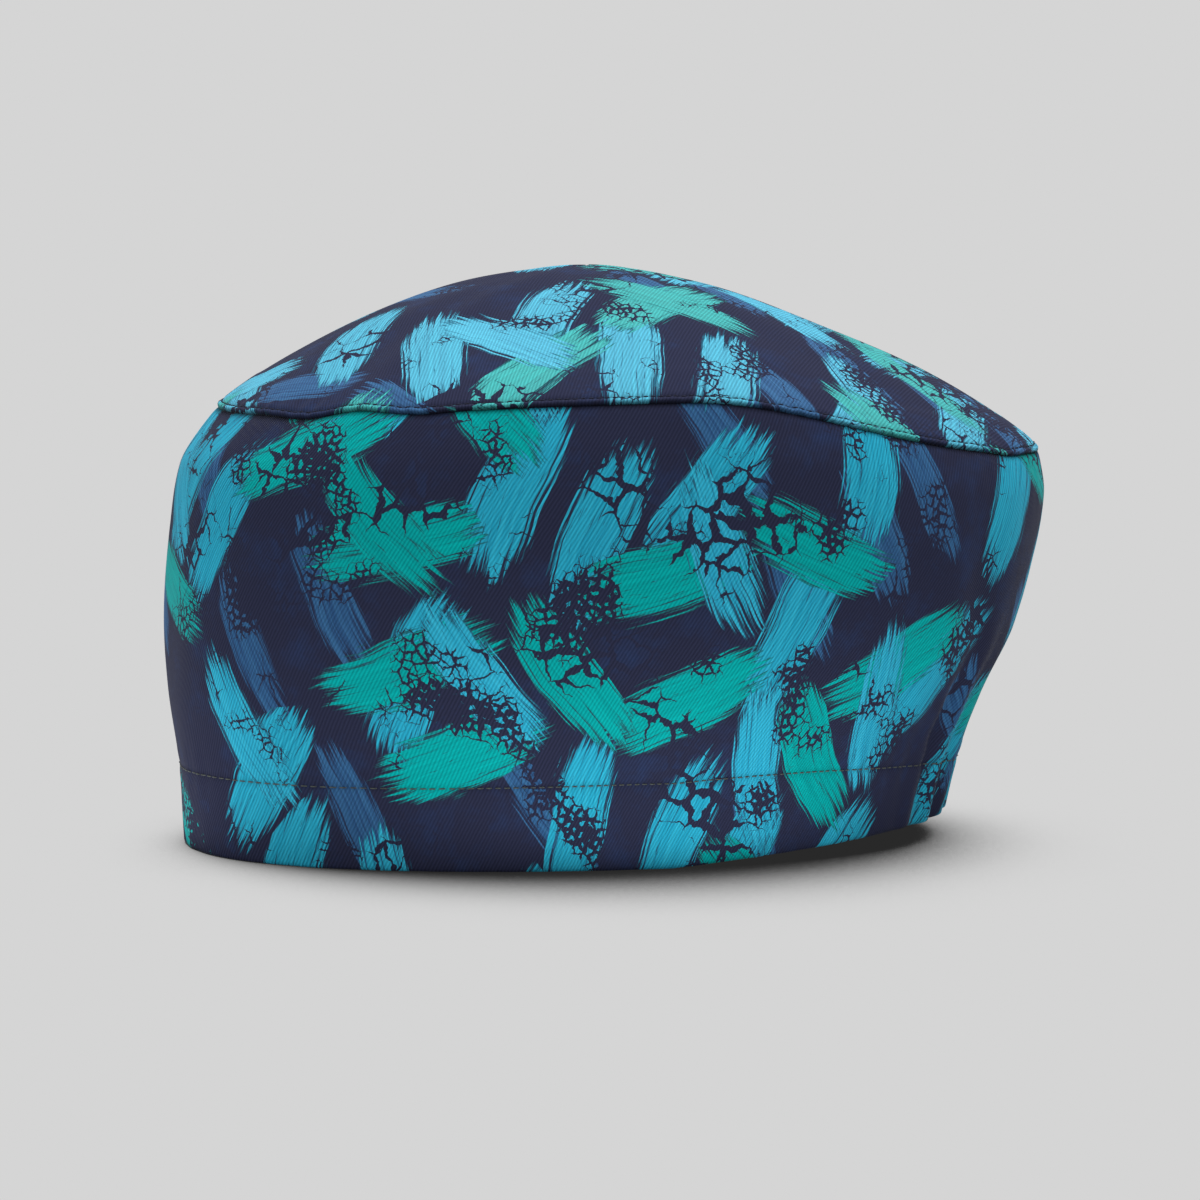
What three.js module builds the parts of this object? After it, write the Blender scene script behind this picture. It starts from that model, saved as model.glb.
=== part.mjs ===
import * as THREE from "three";

// A scrub cap cut and sewn from printed cotton twill, standing on its hem. Millimetres, +Z up.
// The front is at -X, the back at +X, and the origin is on the surface under the middle of the cap.
// "around" is an angle in degrees: 0 at the front, 90 at the wearer's left (-Y), 180 at the back.

// Driving dimensions: the whole cap
const LENGTH = 225; // outside, front to back
const WIDTH = 172; // outside, side to side
const CROWN_HEIGHT = 145; // surface to the top of the crown
const SEAM_HEIGHT_FRONT = 109.5; // surface to the seam that joins band and crown
const SEAM_HEIGHT_SIDE = 114.2;
const SEAM_HEIGHT_BACK = 97.5;
const SEAM_DIP = 3.5; // how far the seam sags between the side and the back
const BACK_LIFT = 6; // how far the back of the hem stands off the surface
const CROWN_TOP_FORWARD = 5; // the crown's top is this far in front of the middle

// Driving dimensions: cloth, hem and elastic
const CLOTH = 1.2; // thickness of one layer with its seams
const GAP = 0.3; // clearance between neighbouring pieces
const HEM_DEPTH_FRONT = 20; // folded edge to hem stitches
const HEM_DEPTH_SIDE = 21.5;
const HEM_DEPTH_BACK = 13.5;
const FACING_MARGIN = 1.5; // the turned-up facing ends this far above the hem stitches
const ELASTIC_THICKNESS = 1;
const ELASTIC_MARGIN = 1.5; // clearance above and below the elastic in its channel
const ELASTIC_START = 140; // degrees around
const ELASTIC_END = 220;
const ELASTIC_TAPER = 8; // degrees over which the channel closes beyond each end

// Driving dimensions: the crown's turned and topstitched rim
const WELT_WIDTH = 1.7; // seam to topstitching
const WELT_PROUD = 0.6; // how far the turned edge stands out
const ALLOWANCE_WIDTH = 9; // seam allowance pressed up inside the crown
const ALLOWANCE_THICKNESS = 1.2;
const RIM_PUFF_FRONT = 0.5; // the stiff rim holds the crown up by this much just inside it
const RIM_PUFF_BACK = 1.7;

// Driving dimensions: gathers drawn up by the elastic
const GATHER_COUNT = 11;
const GATHER_DEPTH = 2.2;
const GATHER_REACH = 45; // they fade out this far above the hem stitches

// Driving dimensions: the largest of the soft folds beside the gathers
const FOLD_HALF_WIDTH = 16;
const FOLD_HALF_LENGTH = 30;
const FOLD_DEPTH = 1.3;

// Shape factors, without a length
const PLAN_SQUARENESS = 2.15; // exponent of the plan's outline: 2 is an ellipse, more is squarer
const CROWN_FULLNESS_FRONT = 1.95; // exponent of the crown's slope: 1 is a cone, more is rounder
const CROWN_FULLNESS_BACK = 1.7;
const RIM_PUFF_CLOSENESS = 8; // exponent of the puff: the higher, the closer it is to the rim
const GATHER_UNEVENNESS = 0.16; // the most that a gather moves sideways, as a share of the gathers' spacing
const GATHER_DRIFTS = 2.5; // how many times they drift to and fro along the elastic
const GATHER_ONSET = 3; // how soon the gathers reach full depth in from the ends of the elastic

// The band from its folded edge to the top seam. "rise" is a share of the height from hem stitches to
// seam, below zero in the hem. "front" and "back" are shares of half the length, "side" of half the width.
const BAND_LEVELS = [
  { rise: -1, front: 0.962, back: 0.757, side: 0.79 },
  { rise: 0, front: 0.972, back: 0.786, side: 0.84 },
  { rise: 0.2, front: 0.993, back: 0.838, side: 0.923 },
  { rise: 0.42, front: 1, back: 0.928, side: 0.98 },
  { rise: 0.66, front: 0.989, back: 0.978, side: 1 },
  { rise: 0.86, front: 0.961, back: 1, side: 0.978 },
  { rise: 1, front: 0.878, back: 0.994, side: 0.931 },
];

// Soft folds where the fullness of the band falls into the gathers. "rise" is a share of the height from
// hem stitches to seam, and "across", "along" and "depth" are shares of the largest fold's half width, half
// length and depth. "along" runs up the band.
const FOLDS = [
  { around: 118, rise: 0.36, across: 0.55, along: 0.85, depth: 0.55 },
  { around: 131, rise: 0.42, across: 0.45, along: 1, depth: 0.85 },
  { around: 144, rise: 0.4, across: 0.38, along: 0.8, depth: 1 },
  { around: 138, rise: 0.1, across: 0.95, along: 0.12, depth: 0.7 },
  { around: 221, rise: 0.38, across: 0.45, along: 0.95, depth: 0.9 },
  { around: 236, rise: 0.44, across: 0.5, along: 1, depth: 0.7 },
  { around: 52, rise: 0.55, across: 1, along: 0.75, depth: 0.55 },
  { around: 318, rise: 0.5, across: 0.95, along: 0.8, depth: 0.6 },
];

// Rows of points up the outside and down the inside of the band, as values of "rise"
const BAND_OUTSIDE_ROWS = [-1, -0.5, 0, 0.08, 0.17, 0.27, 0.38, 0.5, 0.62, 0.74, 0.86, 0.94, 1];
const BAND_INSIDE_ROWS = [1, 0.9, 0.74, 0.55, 0.38, 0.22, 0.1, 0];
const FACING_ROWS = [0, 0.5, 1]; // shares of the facing's height

// The crown's outer rim, from the seam inwards, and the shares of its slope that have a row of points
const RIM_ROWS = [
  { widths: 0, proud: 0.5 },
  { widths: 0.5, proud: 1 },
  { widths: 1, proud: 0.25 },
  { widths: 2, proud: 0.5 },
  { widths: 4.5, proud: 0 },
];
const CROWN_OUTSIDE_ROWS = [0.84, 0.74, 0.62, 0.48, 0.34, 0.2, 0.08];
const CROWN_INSIDE_ROWS = [0.08, 0.24, 0.42, 0.6, 0.76];

// Columns of points around the cap: close together where the hem is gathered
const PLAIN_COLUMNS = 24; // on each side, from the front to the gathers
const GATHERED_COLUMNS = 64;
const CROWN_COLUMNS = 90;

const PRINTED_TWILL = 0x235c72;
const ELASTIC_WHITE = 0xe9e6df;

// Small steps to either side of a point, for the direction of a surface there
const DEGREE_STEP = 0.5;
const SHARE_STEP = 0.01;

const sine = (degrees) => Math.sin(THREE.MathUtils.degToRad(degrees));
const cosine = (degrees) => Math.cos(THREE.MathUtils.degToRad(degrees));

// A value that turns smoothly from the front through the side to the back
function aroundTheCap(around, front, side, back) {
  const sideShare = sine(around) ** 2;
  const end = cosine(around) > 0 ? front : back;
  return end * (1 - sideShare) + side * sideShare;
}

function edgeHeight(around) {
  return BACK_LIFT * Math.max(0, -cosine(around));
}

function stitchHeight(around) {
  return edgeHeight(around) + aroundTheCap(around, HEM_DEPTH_FRONT, HEM_DEPTH_SIDE, HEM_DEPTH_BACK);
}

function seamHeight(around) {
  const dip = cosine(around) < 0 ? SEAM_DIP * sine(2 * around) ** 2 : 0;
  return aroundTheCap(around, SEAM_HEIGHT_FRONT, SEAM_HEIGHT_SIDE, SEAM_HEIGHT_BACK) - dip;
}

function heightOfRise(around, rise) {
  const stitches = stitchHeight(around);
  const span = rise < 0 ? stitches - edgeHeight(around) : seamHeight(around) - stitches;
  return stitches + rise * span;
}

function riseOfHeight(around, height) {
  const stitches = stitchHeight(around);
  const span = height < stitches ? stitches - edgeHeight(around) : seamHeight(around) - stitches;
  return (height - stitches) / span;
}

// The band's reach to the front, back and side at a rise: one smooth curve through the levels
const reachCurve = new THREE.CatmullRomCurve3(
  BAND_LEVELS.map((level) => new THREE.Vector3(level.front, level.back, level.side)),
  false,
  "catmullrom",
);

function reachAtRise(rise) {
  const last = BAND_LEVELS.length - 1;
  const above = BAND_LEVELS.findIndex((level, index) => index === last || (index > 0 && rise <= level.rise));
  const [low, high] = [BAND_LEVELS[above - 1], BAND_LEVELS[above]];
  const share = (rise - low.rise) / (high.rise - low.rise);
  const reach = reachCurve.getPoint((above - 1 + share) / last);
  return { front: (reach.x * LENGTH) / 2, back: (reach.y * LENGTH) / 2, side: (reach.z * WIDTH) / 2 };
}

// A point on the plan's outline, which is a rounded shape with its own reach to the front and the back
function outlinePoint(around, reach) {
  const end = cosine(around) > 0 ? reach.front : reach.back;
  const alongShare = Math.abs(cosine(around) / end) ** PLAN_SQUARENESS;
  const acrossShare = Math.abs(sine(around) / reach.side) ** PLAN_SQUARENESS;
  const radius = (alongShare + acrossShare) ** (-1 / PLAN_SQUARENESS);
  return new THREE.Vector2(-radius * cosine(around), -radius * sine(around));
}

// A point of the band's smooth outer face, moved outwards by a distance
function bandPoint(around, height, outwards) {
  const reach = reachAtRise(riseOfHeight(around, height));
  const ahead = outlinePoint(around + DEGREE_STEP, reach);
  const behind = outlinePoint(around - DEGREE_STEP, reach);
  const normal = new THREE.Vector2(ahead.y - behind.y, behind.x - ahead.x).normalize();
  const point = outlinePoint(around, reach).addScaledVector(normal, outwards);
  return new THREE.Vector3(point.x, point.y, height);
}

const bell = (distance, halfSize) => Math.exp(-((distance / halfSize) ** 2));

// How far the band is pushed in by the soft folds
function foldDepth(around, height) {
  const rise = riseOfHeight(around, height);
  const wall = seamHeight(around) - stitchHeight(around);
  let depth = 0;
  for (const fold of FOLDS) {
    const across = THREE.MathUtils.degToRad(around - fold.around) * (WIDTH / 2);
    const along = (rise - fold.rise) * wall;
    const spread = bell(across, fold.across * FOLD_HALF_WIDTH) * bell(along, fold.along * FOLD_HALF_LENGTH);
    depth += fold.depth * FOLD_DEPTH * spread;
  }
  return depth;
}

// How far a gather stands out of the smooth face, from nothing in a valley to its full depth on a ridge
function gatherHeight(around, height) {
  const share = (around - ELASTIC_START) / (ELASTIC_END - ELASTIC_START);
  if (share <= 0 || share >= 1) {
    return 0;
  }
  const inFromEnds = Math.sin(share * Math.PI);
  const uneven = GATHER_UNEVENNESS * Math.sin(2 * Math.PI * GATHER_DRIFTS * share) * inFromEnds;
  const wave = 0.5 - 0.5 * Math.cos(2 * Math.PI * (share * GATHER_COUNT + uneven));
  const onset = Math.min(1, GATHER_ONSET * inFromEnds);
  const above = (height - stitchHeight(around)) / GATHER_REACH;
  const fade = 1 - THREE.MathUtils.smoothstep(above, 0, 1);
  return GATHER_DEPTH * wave * onset * fade;
}

// The space between the band and its facing, which opens where the elastic lies
function channelWidth(around) {
  const beyond = Math.max(ELASTIC_START - around, around - ELASTIC_END, 0);
  const open = 1 - THREE.MathUtils.smoothstep(beyond, 0, ELASTIC_TAPER);
  return GAP + (ELASTIC_THICKNESS + GAP) * open;
}

// Evenly spaced angles from a first one up to, and without, a last one
function evenAngles(first, last, count) {
  return Array.from({ length: count }, (_, index) => THREE.MathUtils.lerp(first, last, index / count));
}

// Angles around the cap, in a closed ring that starts at the front
function columnAngles() {
  const first = ELASTIC_START - ELASTIC_TAPER;
  const last = ELASTIC_END + ELASTIC_TAPER;
  return [
    ...evenAngles(0, first, PLAIN_COLUMNS),
    ...evenAngles(first, last, GATHERED_COLUMNS),
    ...evenAngles(last, 360, PLAIN_COLUMNS),
  ];
}

// A closed body from rings of points. The rings run up the outside and down the inside of a wall, each
// one anticlockwise from above. "closed" joins the last ring to the first, and otherwise the first and
// last rings close on a point each.
function bodyFromRings(rings, closed, firstTip, lastTip) {
  const count = rings[0].length;
  const positions = rings.flat().flatMap((point) => point.toArray());
  const triangles = [];
  const steps = closed ? rings.length : rings.length - 1;
  for (let ring = 0; ring < steps; ring += 1) {
    const low = ring * count;
    const high = ((ring + 1) % rings.length) * count;
    for (let column = 0; column < count; column += 1) {
      const next = (column + 1) % count;
      triangles.push(low + column, low + next, high + next);
      triangles.push(low + column, high + next, high + column);
    }
  }
  if (!closed) {
    const tip = rings.length * count;
    const top = (rings.length - 1) * count;
    positions.push(...firstTip.toArray(), ...lastTip.toArray());
    for (let column = 0; column < count; column += 1) {
      const next = (column + 1) % count;
      triangles.push(tip, next, column);
      triangles.push(tip + 1, top + column, top + next);
    }
  }
  return geometryFrom(positions, triangles);
}

function geometryFrom(positions, triangles) {
  const geometry = new THREE.BufferGeometry();
  geometry.setAttribute("position", new THREE.Float32BufferAttribute(positions, 3));
  geometry.setIndex(triangles);
  geometry.computeVertexNormals();
  return geometry;
}

// The tall band all round, with its lower edge folded in under the facing
function sideBand() {
  const angles = columnAngles();
  const outside = BAND_OUTSIDE_ROWS.map((rise) => (around) => {
    const height = heightOfRise(around, rise);
    return bandPoint(around, height, gatherHeight(around, height) - foldDepth(around, height));
  });
  const inside = BAND_INSIDE_ROWS.map((rise) => (around) => {
    const height = heightOfRise(around, rise);
    return bandPoint(around, height, gatherHeight(around, height) - foldDepth(around, height) - CLOTH);
  });
  const foldTop = (layers) => (around) => {
    const height = edgeHeight(around) + CLOTH;
    return bandPoint(around, height, layers(around, height) - foldDepth(around, height));
  };
  const innerFace = (around, height) => gatherHeight(around, height) - CLOTH;
  const underFacing = (around, height) => -2 * CLOTH - channelWidth(around) - gatherHeight(around, height);
  const foldUnderside = (around) => {
    const height = edgeHeight(around);
    return bandPoint(around, height, underFacing(around, height) - foldDepth(around, height));
  };
  const rows = [...outside, ...inside, foldTop(innerFace), foldTop(underFacing), foldUnderside];
  return bodyFromRings(rows.map((row) => angles.map(row)), true);
}

// The turned-up layer inside the band, from just above the fold to just above the hem stitches
function hemCasing() {
  const angles = columnAngles();
  const row = (share, layers) => (around) => {
    const bottom = edgeHeight(around) + CLOTH + GAP;
    const height = THREE.MathUtils.lerp(bottom, stitchHeight(around) + FACING_MARGIN, share);
    const inwards = CLOTH + channelWidth(around) + gatherHeight(around, height) + foldDepth(around, height);
    return bandPoint(around, height, -inwards - layers * CLOTH);
  };
  const outside = FACING_ROWS.map((share) => row(share, 0));
  const inside = FACING_ROWS.map((share) => row(1 - share, 1));
  return bodyFromRings([...outside, ...inside].map((each) => angles.map(each)), true);
}

// The flat elastic in the channel between band and facing, a plain strip along the back
function backElastic() {
  const width = HEM_DEPTH_BACK - CLOTH - 2 * ELASTIC_MARGIN;
  const angles = columnAngles().filter((around) => around >= ELASTIC_START && around <= ELASTIC_END);
  const corner = (up, layers) => (around) => {
    const height = edgeHeight(around) + CLOTH + ELASTIC_MARGIN + up * width;
    const inwards = CLOTH + GAP + layers * ELASTIC_THICKNESS + foldDepth(around, height);
    return bandPoint(around, height, -inwards);
  };
  const corners = [corner(0, 0), corner(1, 0), corner(1, 1), corner(0, 1)];
  const sections = angles.map((around) => corners.map((place) => place(around)));
  const triangles = [];
  const sides = corners.length;
  for (let section = 0; section < sections.length - 1; section += 1) {
    for (let side = 0; side < sides; side += 1) {
      const [here, next] = [section * sides + side, section * sides + ((side + 1) % sides)];
      triangles.push(here, here + sides, next + sides);
      triangles.push(here, next + sides, next);
    }
  }
  const end = (sections.length - 1) * sides;
  triangles.push(0, 1, 2, 0, 2, 3);
  triangles.push(end, end + 2, end + 1, end, end + 3, end + 2);
  return geometryFrom(sections.flat().flatMap((point) => point.toArray()), triangles);
}

// The crown's smooth outer face. "share" is 0 at its top and 1 at the rim, just above the band's edge.
function crownPoint(around, share) {
  const top = new THREE.Vector2(-CROWN_TOP_FORWARD, 0);
  const plan = top.lerp(outlinePoint(around, reachAtRise(1)), share);
  const rim = seamHeight(around) + GAP;
  const fullness = aroundTheCap(around, CROWN_FULLNESS_FRONT, CROWN_FULLNESS_FRONT, CROWN_FULLNESS_BACK);
  const puff = aroundTheCap(around, RIM_PUFF_FRONT, RIM_PUFF_FRONT, RIM_PUFF_BACK) * puffShape(share);
  return new THREE.Vector3(plan.x, plan.y, rim + (CROWN_HEIGHT - rim) * (1 - share ** fullness) + puff);
}

// The puff along the slope: nothing at the top and at the rim, and 1 at its highest
function puffShape(share) {
  const highest = RIM_PUFF_CLOSENESS / (RIM_PUFF_CLOSENESS + 1);
  const shape = (at) => at ** RIM_PUFF_CLOSENESS * (1 - at);
  return shape(share) / shape(highest);
}

// A point off the crown's smooth face, square to it, and never below the rim's underside
function crownLayerPoint(around, share, outwards) {
  const alongRim = crownPoint(around + DEGREE_STEP, share).sub(crownPoint(around - DEGREE_STEP, share));
  const upSlope = crownPoint(around, share - SHARE_STEP).sub(crownPoint(around, share));
  const normal = alongRim.cross(upSlope).normalize();
  const point = crownPoint(around, share).addScaledVector(normal, outwards);
  point.z = Math.max(point.z, seamHeight(around) + GAP);
  return point;
}

// The share of the slope that lies a given distance up from the rim
function shareFromRim(around, distance) {
  const rim = crownPoint(around, 1);
  const slope = Math.hypot(rim.x + CROWN_TOP_FORWARD, rim.y);
  return 1 - distance / slope;
}

// The domed top, with its edge turned in, topstitched, and its seam allowance lying inside
function crown() {
  const angles = evenAngles(0, 360, CROWN_COLUMNS);
  const fromRim = (distance, outwards) => (around) =>
    crownLayerPoint(around, shareFromRim(around, distance), outwards);
  const onSlope = (share, outwards) => (around) => crownLayerPoint(around, share, outwards);
  const inside = [
    ...CROWN_INSIDE_ROWS.map((share) => onSlope(share, -CLOTH)),
    fromRim(ALLOWANCE_WIDTH + ALLOWANCE_THICKNESS, -CLOTH),
    fromRim(ALLOWANCE_WIDTH, -CLOTH - ALLOWANCE_THICKNESS),
    fromRim(ALLOWANCE_WIDTH / 2, -CLOTH - ALLOWANCE_THICKNESS),
    fromRim(0, -CLOTH - ALLOWANCE_THICKNESS),
  ];
  const outside = [
    ...RIM_ROWS.map((row) => fromRim(row.widths * WELT_WIDTH, row.proud * WELT_PROUD)),
    ...CROWN_OUTSIDE_ROWS.map((share) => onSlope(share, 0)),
  ];
  const top = crownPoint(0, 0);
  const underTop = top.clone().setZ(top.z - CLOTH);
  return bodyFromRings([...inside, ...outside].map((row) => angles.map(row)), false, underTop, top);
}

function piece(name, geometry, color, roughness) {
  const mesh = new THREE.Mesh(geometry, new THREE.MeshStandardMaterial({ color, roughness, metalness: 0 }));
  mesh.name = name;
  return mesh;
}

const scrubCap = new THREE.Group();
scrubCap.add(
  piece("crown", crown(), PRINTED_TWILL, 0.85),
  piece("side_band", sideBand(), PRINTED_TWILL, 0.85),
  piece("hem_casing", hemCasing(), PRINTED_TWILL, 0.85),
  piece("back_elastic", backElastic(), ELASTIC_WHITE, 0.8),
);

export default scrubCap;
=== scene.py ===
"""The looks of a scrub cap of printed cotton twill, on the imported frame.

The shapes are worked out in millimetres and written in metres. The front is at -X, the wearer's left at
-Y, and the cap stands on its hem at Z = 0. "around" is an angle in degrees: 0 at the front, 90 at the
wearer's left and 180 at the centre back.
"""

import logging
import math
from dataclasses import dataclass
from enum import Enum
from typing import Callable, Optional, Sequence

import bpy
import numpy as np
from mathutils import Matrix, Vector


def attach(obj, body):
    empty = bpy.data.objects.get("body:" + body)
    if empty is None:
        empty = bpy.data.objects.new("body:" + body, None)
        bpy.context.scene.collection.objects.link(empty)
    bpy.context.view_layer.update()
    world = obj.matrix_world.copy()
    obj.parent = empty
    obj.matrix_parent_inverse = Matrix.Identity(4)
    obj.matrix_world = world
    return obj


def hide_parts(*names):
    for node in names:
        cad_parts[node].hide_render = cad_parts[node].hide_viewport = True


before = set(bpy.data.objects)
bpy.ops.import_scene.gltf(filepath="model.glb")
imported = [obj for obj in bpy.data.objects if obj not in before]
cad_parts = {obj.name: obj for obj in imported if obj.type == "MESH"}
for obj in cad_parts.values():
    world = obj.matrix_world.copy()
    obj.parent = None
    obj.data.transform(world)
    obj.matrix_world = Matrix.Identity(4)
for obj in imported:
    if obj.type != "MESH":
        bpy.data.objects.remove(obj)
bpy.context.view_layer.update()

MILLIMETRE = 0.001
CLOTH_MAP = "cloth_mm"  # the UV map that follows the threads, one unit to a millimetre
# the seam and stitch lines get painted shade by this depth
PAINTED_SEAM_SHADE = "painted_seam_shade"  # how deep a vertex lies in a seam or stitch line, from 0 to 1
PUCKERED = "puckered"  # how much fine creasing the seam draws into the cloth at a vertex, from 0 to 1

log = logging.getLogger("scrub_cap")

Array = np.ndarray
Pair = tuple[float, float]
Triple = tuple[float, float, float]
Tree = bpy.types.NodeTree
Materials = Sequence[bpy.types.Material]


class Side(Enum):
    """The two faces of the printed cloth."""

    RIGHT = 0
    WRONG = 1


def linear(hex_colour: str) -> tuple[float, float, float, float]:
    """Turn an sRGB colour of six hex digits into linear red, green, blue and a full alpha."""
    parts = [int(hex_colour[at : at + 2], 16) / 255 for at in (0, 2, 4)]
    red, green, blue = (c / 12.92 if c <= 0.04045 else ((c + 0.055) / 1.055) ** 2.4 for c in parts)
    return (red, green, blue, 1.0)


def smoothstep(value: Array) -> Array:
    """Ease a share from 0 to 1, level at both ends."""
    share = np.clip(value, 0, 1)
    return share * share * (3 - 2 * share)


def bell(distance: Array, half_size: float) -> Array:
    """A soft bump of height 1 that falls away over half_size."""
    return np.exp(-((distance / half_size) ** 2))


def unit(vectors: Array) -> Array:
    """Vectors brought to length 1."""
    return vectors / np.linalg.norm(vectors, axis=-1, keepdims=True)


def turned_from(around: Array, centre: float) -> Array:
    """The turn from a centre to each angle, between -180 and 180 degrees."""
    return (around - centre + 180) % 360 - 180


def travelled_round(points: Array) -> Array:
    """The distance travelled to each point of a closed line, with the whole way round as one more."""
    run = np.linalg.norm(np.diff(np.vstack([points, points[:1]]), axis=0), axis=1)
    return np.concatenate([[0], np.cumsum(run)])


def add_node(tree: Tree, kind: str, inputs: Optional[dict] = None, **settings: object) -> bpy.types.Node:
    """Add one node with its inputs and settings.

    Args:
        tree: The node tree that gets the node.
        kind: The node's type name in Blender, with ShaderNode left off.
        inputs: By an input's name or number, a value, a socket, or a node for its first output.
        settings: Values of the node's own attributes.

    Returns:
        The new node.
    """
    node = tree.nodes.new(kind if kind.startswith("Node") else f"ShaderNode{kind}")
    for name, value in settings.items():
        setattr(node, name, value)
    for name, value in (inputs or {}).items():
        if isinstance(value, bpy.types.Node):
            value = value.outputs[0]
        if isinstance(value, bpy.types.NodeSocket):
            tree.links.new(value, node.inputs[name])
        else:
            node.inputs[name].default_value = value
    return node


def new_material(name: str, dress: Callable[[Tree], bpy.types.Node]) -> bpy.types.Material:
    """Make a material.

    Args:
        name: The material's name.
        dress: Adds nodes to an empty tree and returns the one that shades the surface.

    Returns:
        The material.
    """
    material = bpy.data.materials.new(name)
    material.use_nodes = True
    tree = material.node_tree
    tree.nodes.clear()
    add_node(tree, "OutputMaterial", {"Surface": dress(tree)})
    return material


def add_object(name: str, data: bpy.types.ID) -> bpy.types.Object:
    """Put a mesh, camera or light into the scene as an object of its own."""
    thing = bpy.data.objects.new(name, data)
    bpy.context.scene.collection.objects.link(thing)
    return thing


def quad_object(name: str, points: Array, quads: Array, materials: Materials, corners: Optional[Array] = None,
                sides: Optional[Array] = None, values: Optional[dict[str, Array]] = None) -> bpy.types.Object:
    """Make an object from quads.

    Args:
        name: The object's name.
        points: Points in millimetres.
        quads: Four point numbers a face.
        materials: The object's materials.
        corners: The UV of each face corner in millimetres of cloth, or None.
        sides: A material's index a face, or None.
        values: For the name of each attribute, its value a point.

    Returns:
        The new object, smooth shaded.
    """
    mesh = bpy.data.meshes.new(name)
    mesh.vertices.add(len(points))
    mesh.vertices.foreach_set("co", (points * MILLIMETRE).astype(np.float32).ravel())
    mesh.loops.add(quads.size)
    mesh.loops.foreach_set("vertex_index", quads.astype(np.int32).ravel())
    mesh.polygons.add(len(quads))
    mesh.polygons.foreach_set("loop_start", np.arange(0, quads.size, 4, dtype=np.int32))
    mesh.polygons.foreach_set("use_smooth", np.ones(len(quads), dtype=bool))
    if sides is not None:
        mesh.polygons.foreach_set("material_index", sides.astype(np.int32))
    mesh.update(calc_edges=True)
    if corners is not None:
        layer = mesh.uv_layers.new(name=CLOTH_MAP)
        layer.data.foreach_set("uv", corners.astype(np.float32).ravel())
    for attribute, value in (values or {}).items():
        stored = mesh.attributes.new(attribute, "FLOAT", "POINT")
        stored.data.foreach_set("value", value.astype(np.float32).ravel())
    for material in materials:
        mesh.materials.append(material)
    mesh.validate()
    return add_object(name, mesh)


def grid_object(name: str, points: Array, cloth: Array, sides: Sequence[int], materials: Materials,
                values: dict[str, Array]) -> bpy.types.Object:
    """Build a closed surface from rows of points that run round the cap.

    Args:
        name: The object's name.
        points: Rows by columns by 3, in millimetres. The rows and the columns close on themselves.
        cloth: Rows + 1 by columns + 1 by 2, the place on the flat cloth in millimetres.
        sides: One index of a material for each step from a row to the next.
        materials: The object's materials.
        values: For the name of each attribute, its value by row and column.

    Returns:
        The new object, smooth shaded.
    """
    rows, columns = points.shape[:2]
    row, column = (index.ravel() for index in np.meshgrid(np.arange(rows), np.arange(columns), indexing="ij"))
    above, beside = (row + 1) % rows, (column + 1) % columns
    quads = np.stack([row * columns + column, row * columns + beside,
                      above * columns + beside, above * columns + column], 1)
    corners = np.stack([cloth[row, column], cloth[row, column + 1],
                        cloth[row + 1, column + 1], cloth[row + 1, column]], 1)
    return quad_object(name, points.reshape(-1, 3), quads, materials, corners.reshape(-1, 2),
                       np.asarray(sides)[row], values)


# The cap's form


@dataclass(frozen=True)
class Fold:
    """One soft fold: degrees around, share of the band's rise, then millimetres across, up and deep."""

    around: float
    rise: float
    half_width: float
    half_length: float
    depth: float


@dataclass(frozen=True)
class SeamWave:
    """One place where the seam line wanders, in degrees and millimetres."""

    around: float
    half_width: float
    height: float


@dataclass(frozen=True)
class WaveTrain:
    """Uneven waves round the cap: their depth and reach in millimetres, their counts and a seed."""

    depth: float
    reach: float
    counts: tuple[int, ...]
    seed: int

    def at(self, around: Array) -> Array:
        """The waves' height at each angle, between about minus and plus their depth."""
        phases = np.random.default_rng(self.seed).uniform(0, 2 * np.pi, (len(self.counts), 2))
        turn = np.radians(around)
        total = np.zeros(np.shape(around))
        for count, (start, swell) in zip(self.counts, phases):
            strength = 0.6 + 0.4 * np.sin(turn * (3 + count % 5) + swell)
            total = total + strength * np.sin(count * turn + start)
        return self.depth * (total / len(self.counts) ** 0.5)


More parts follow.
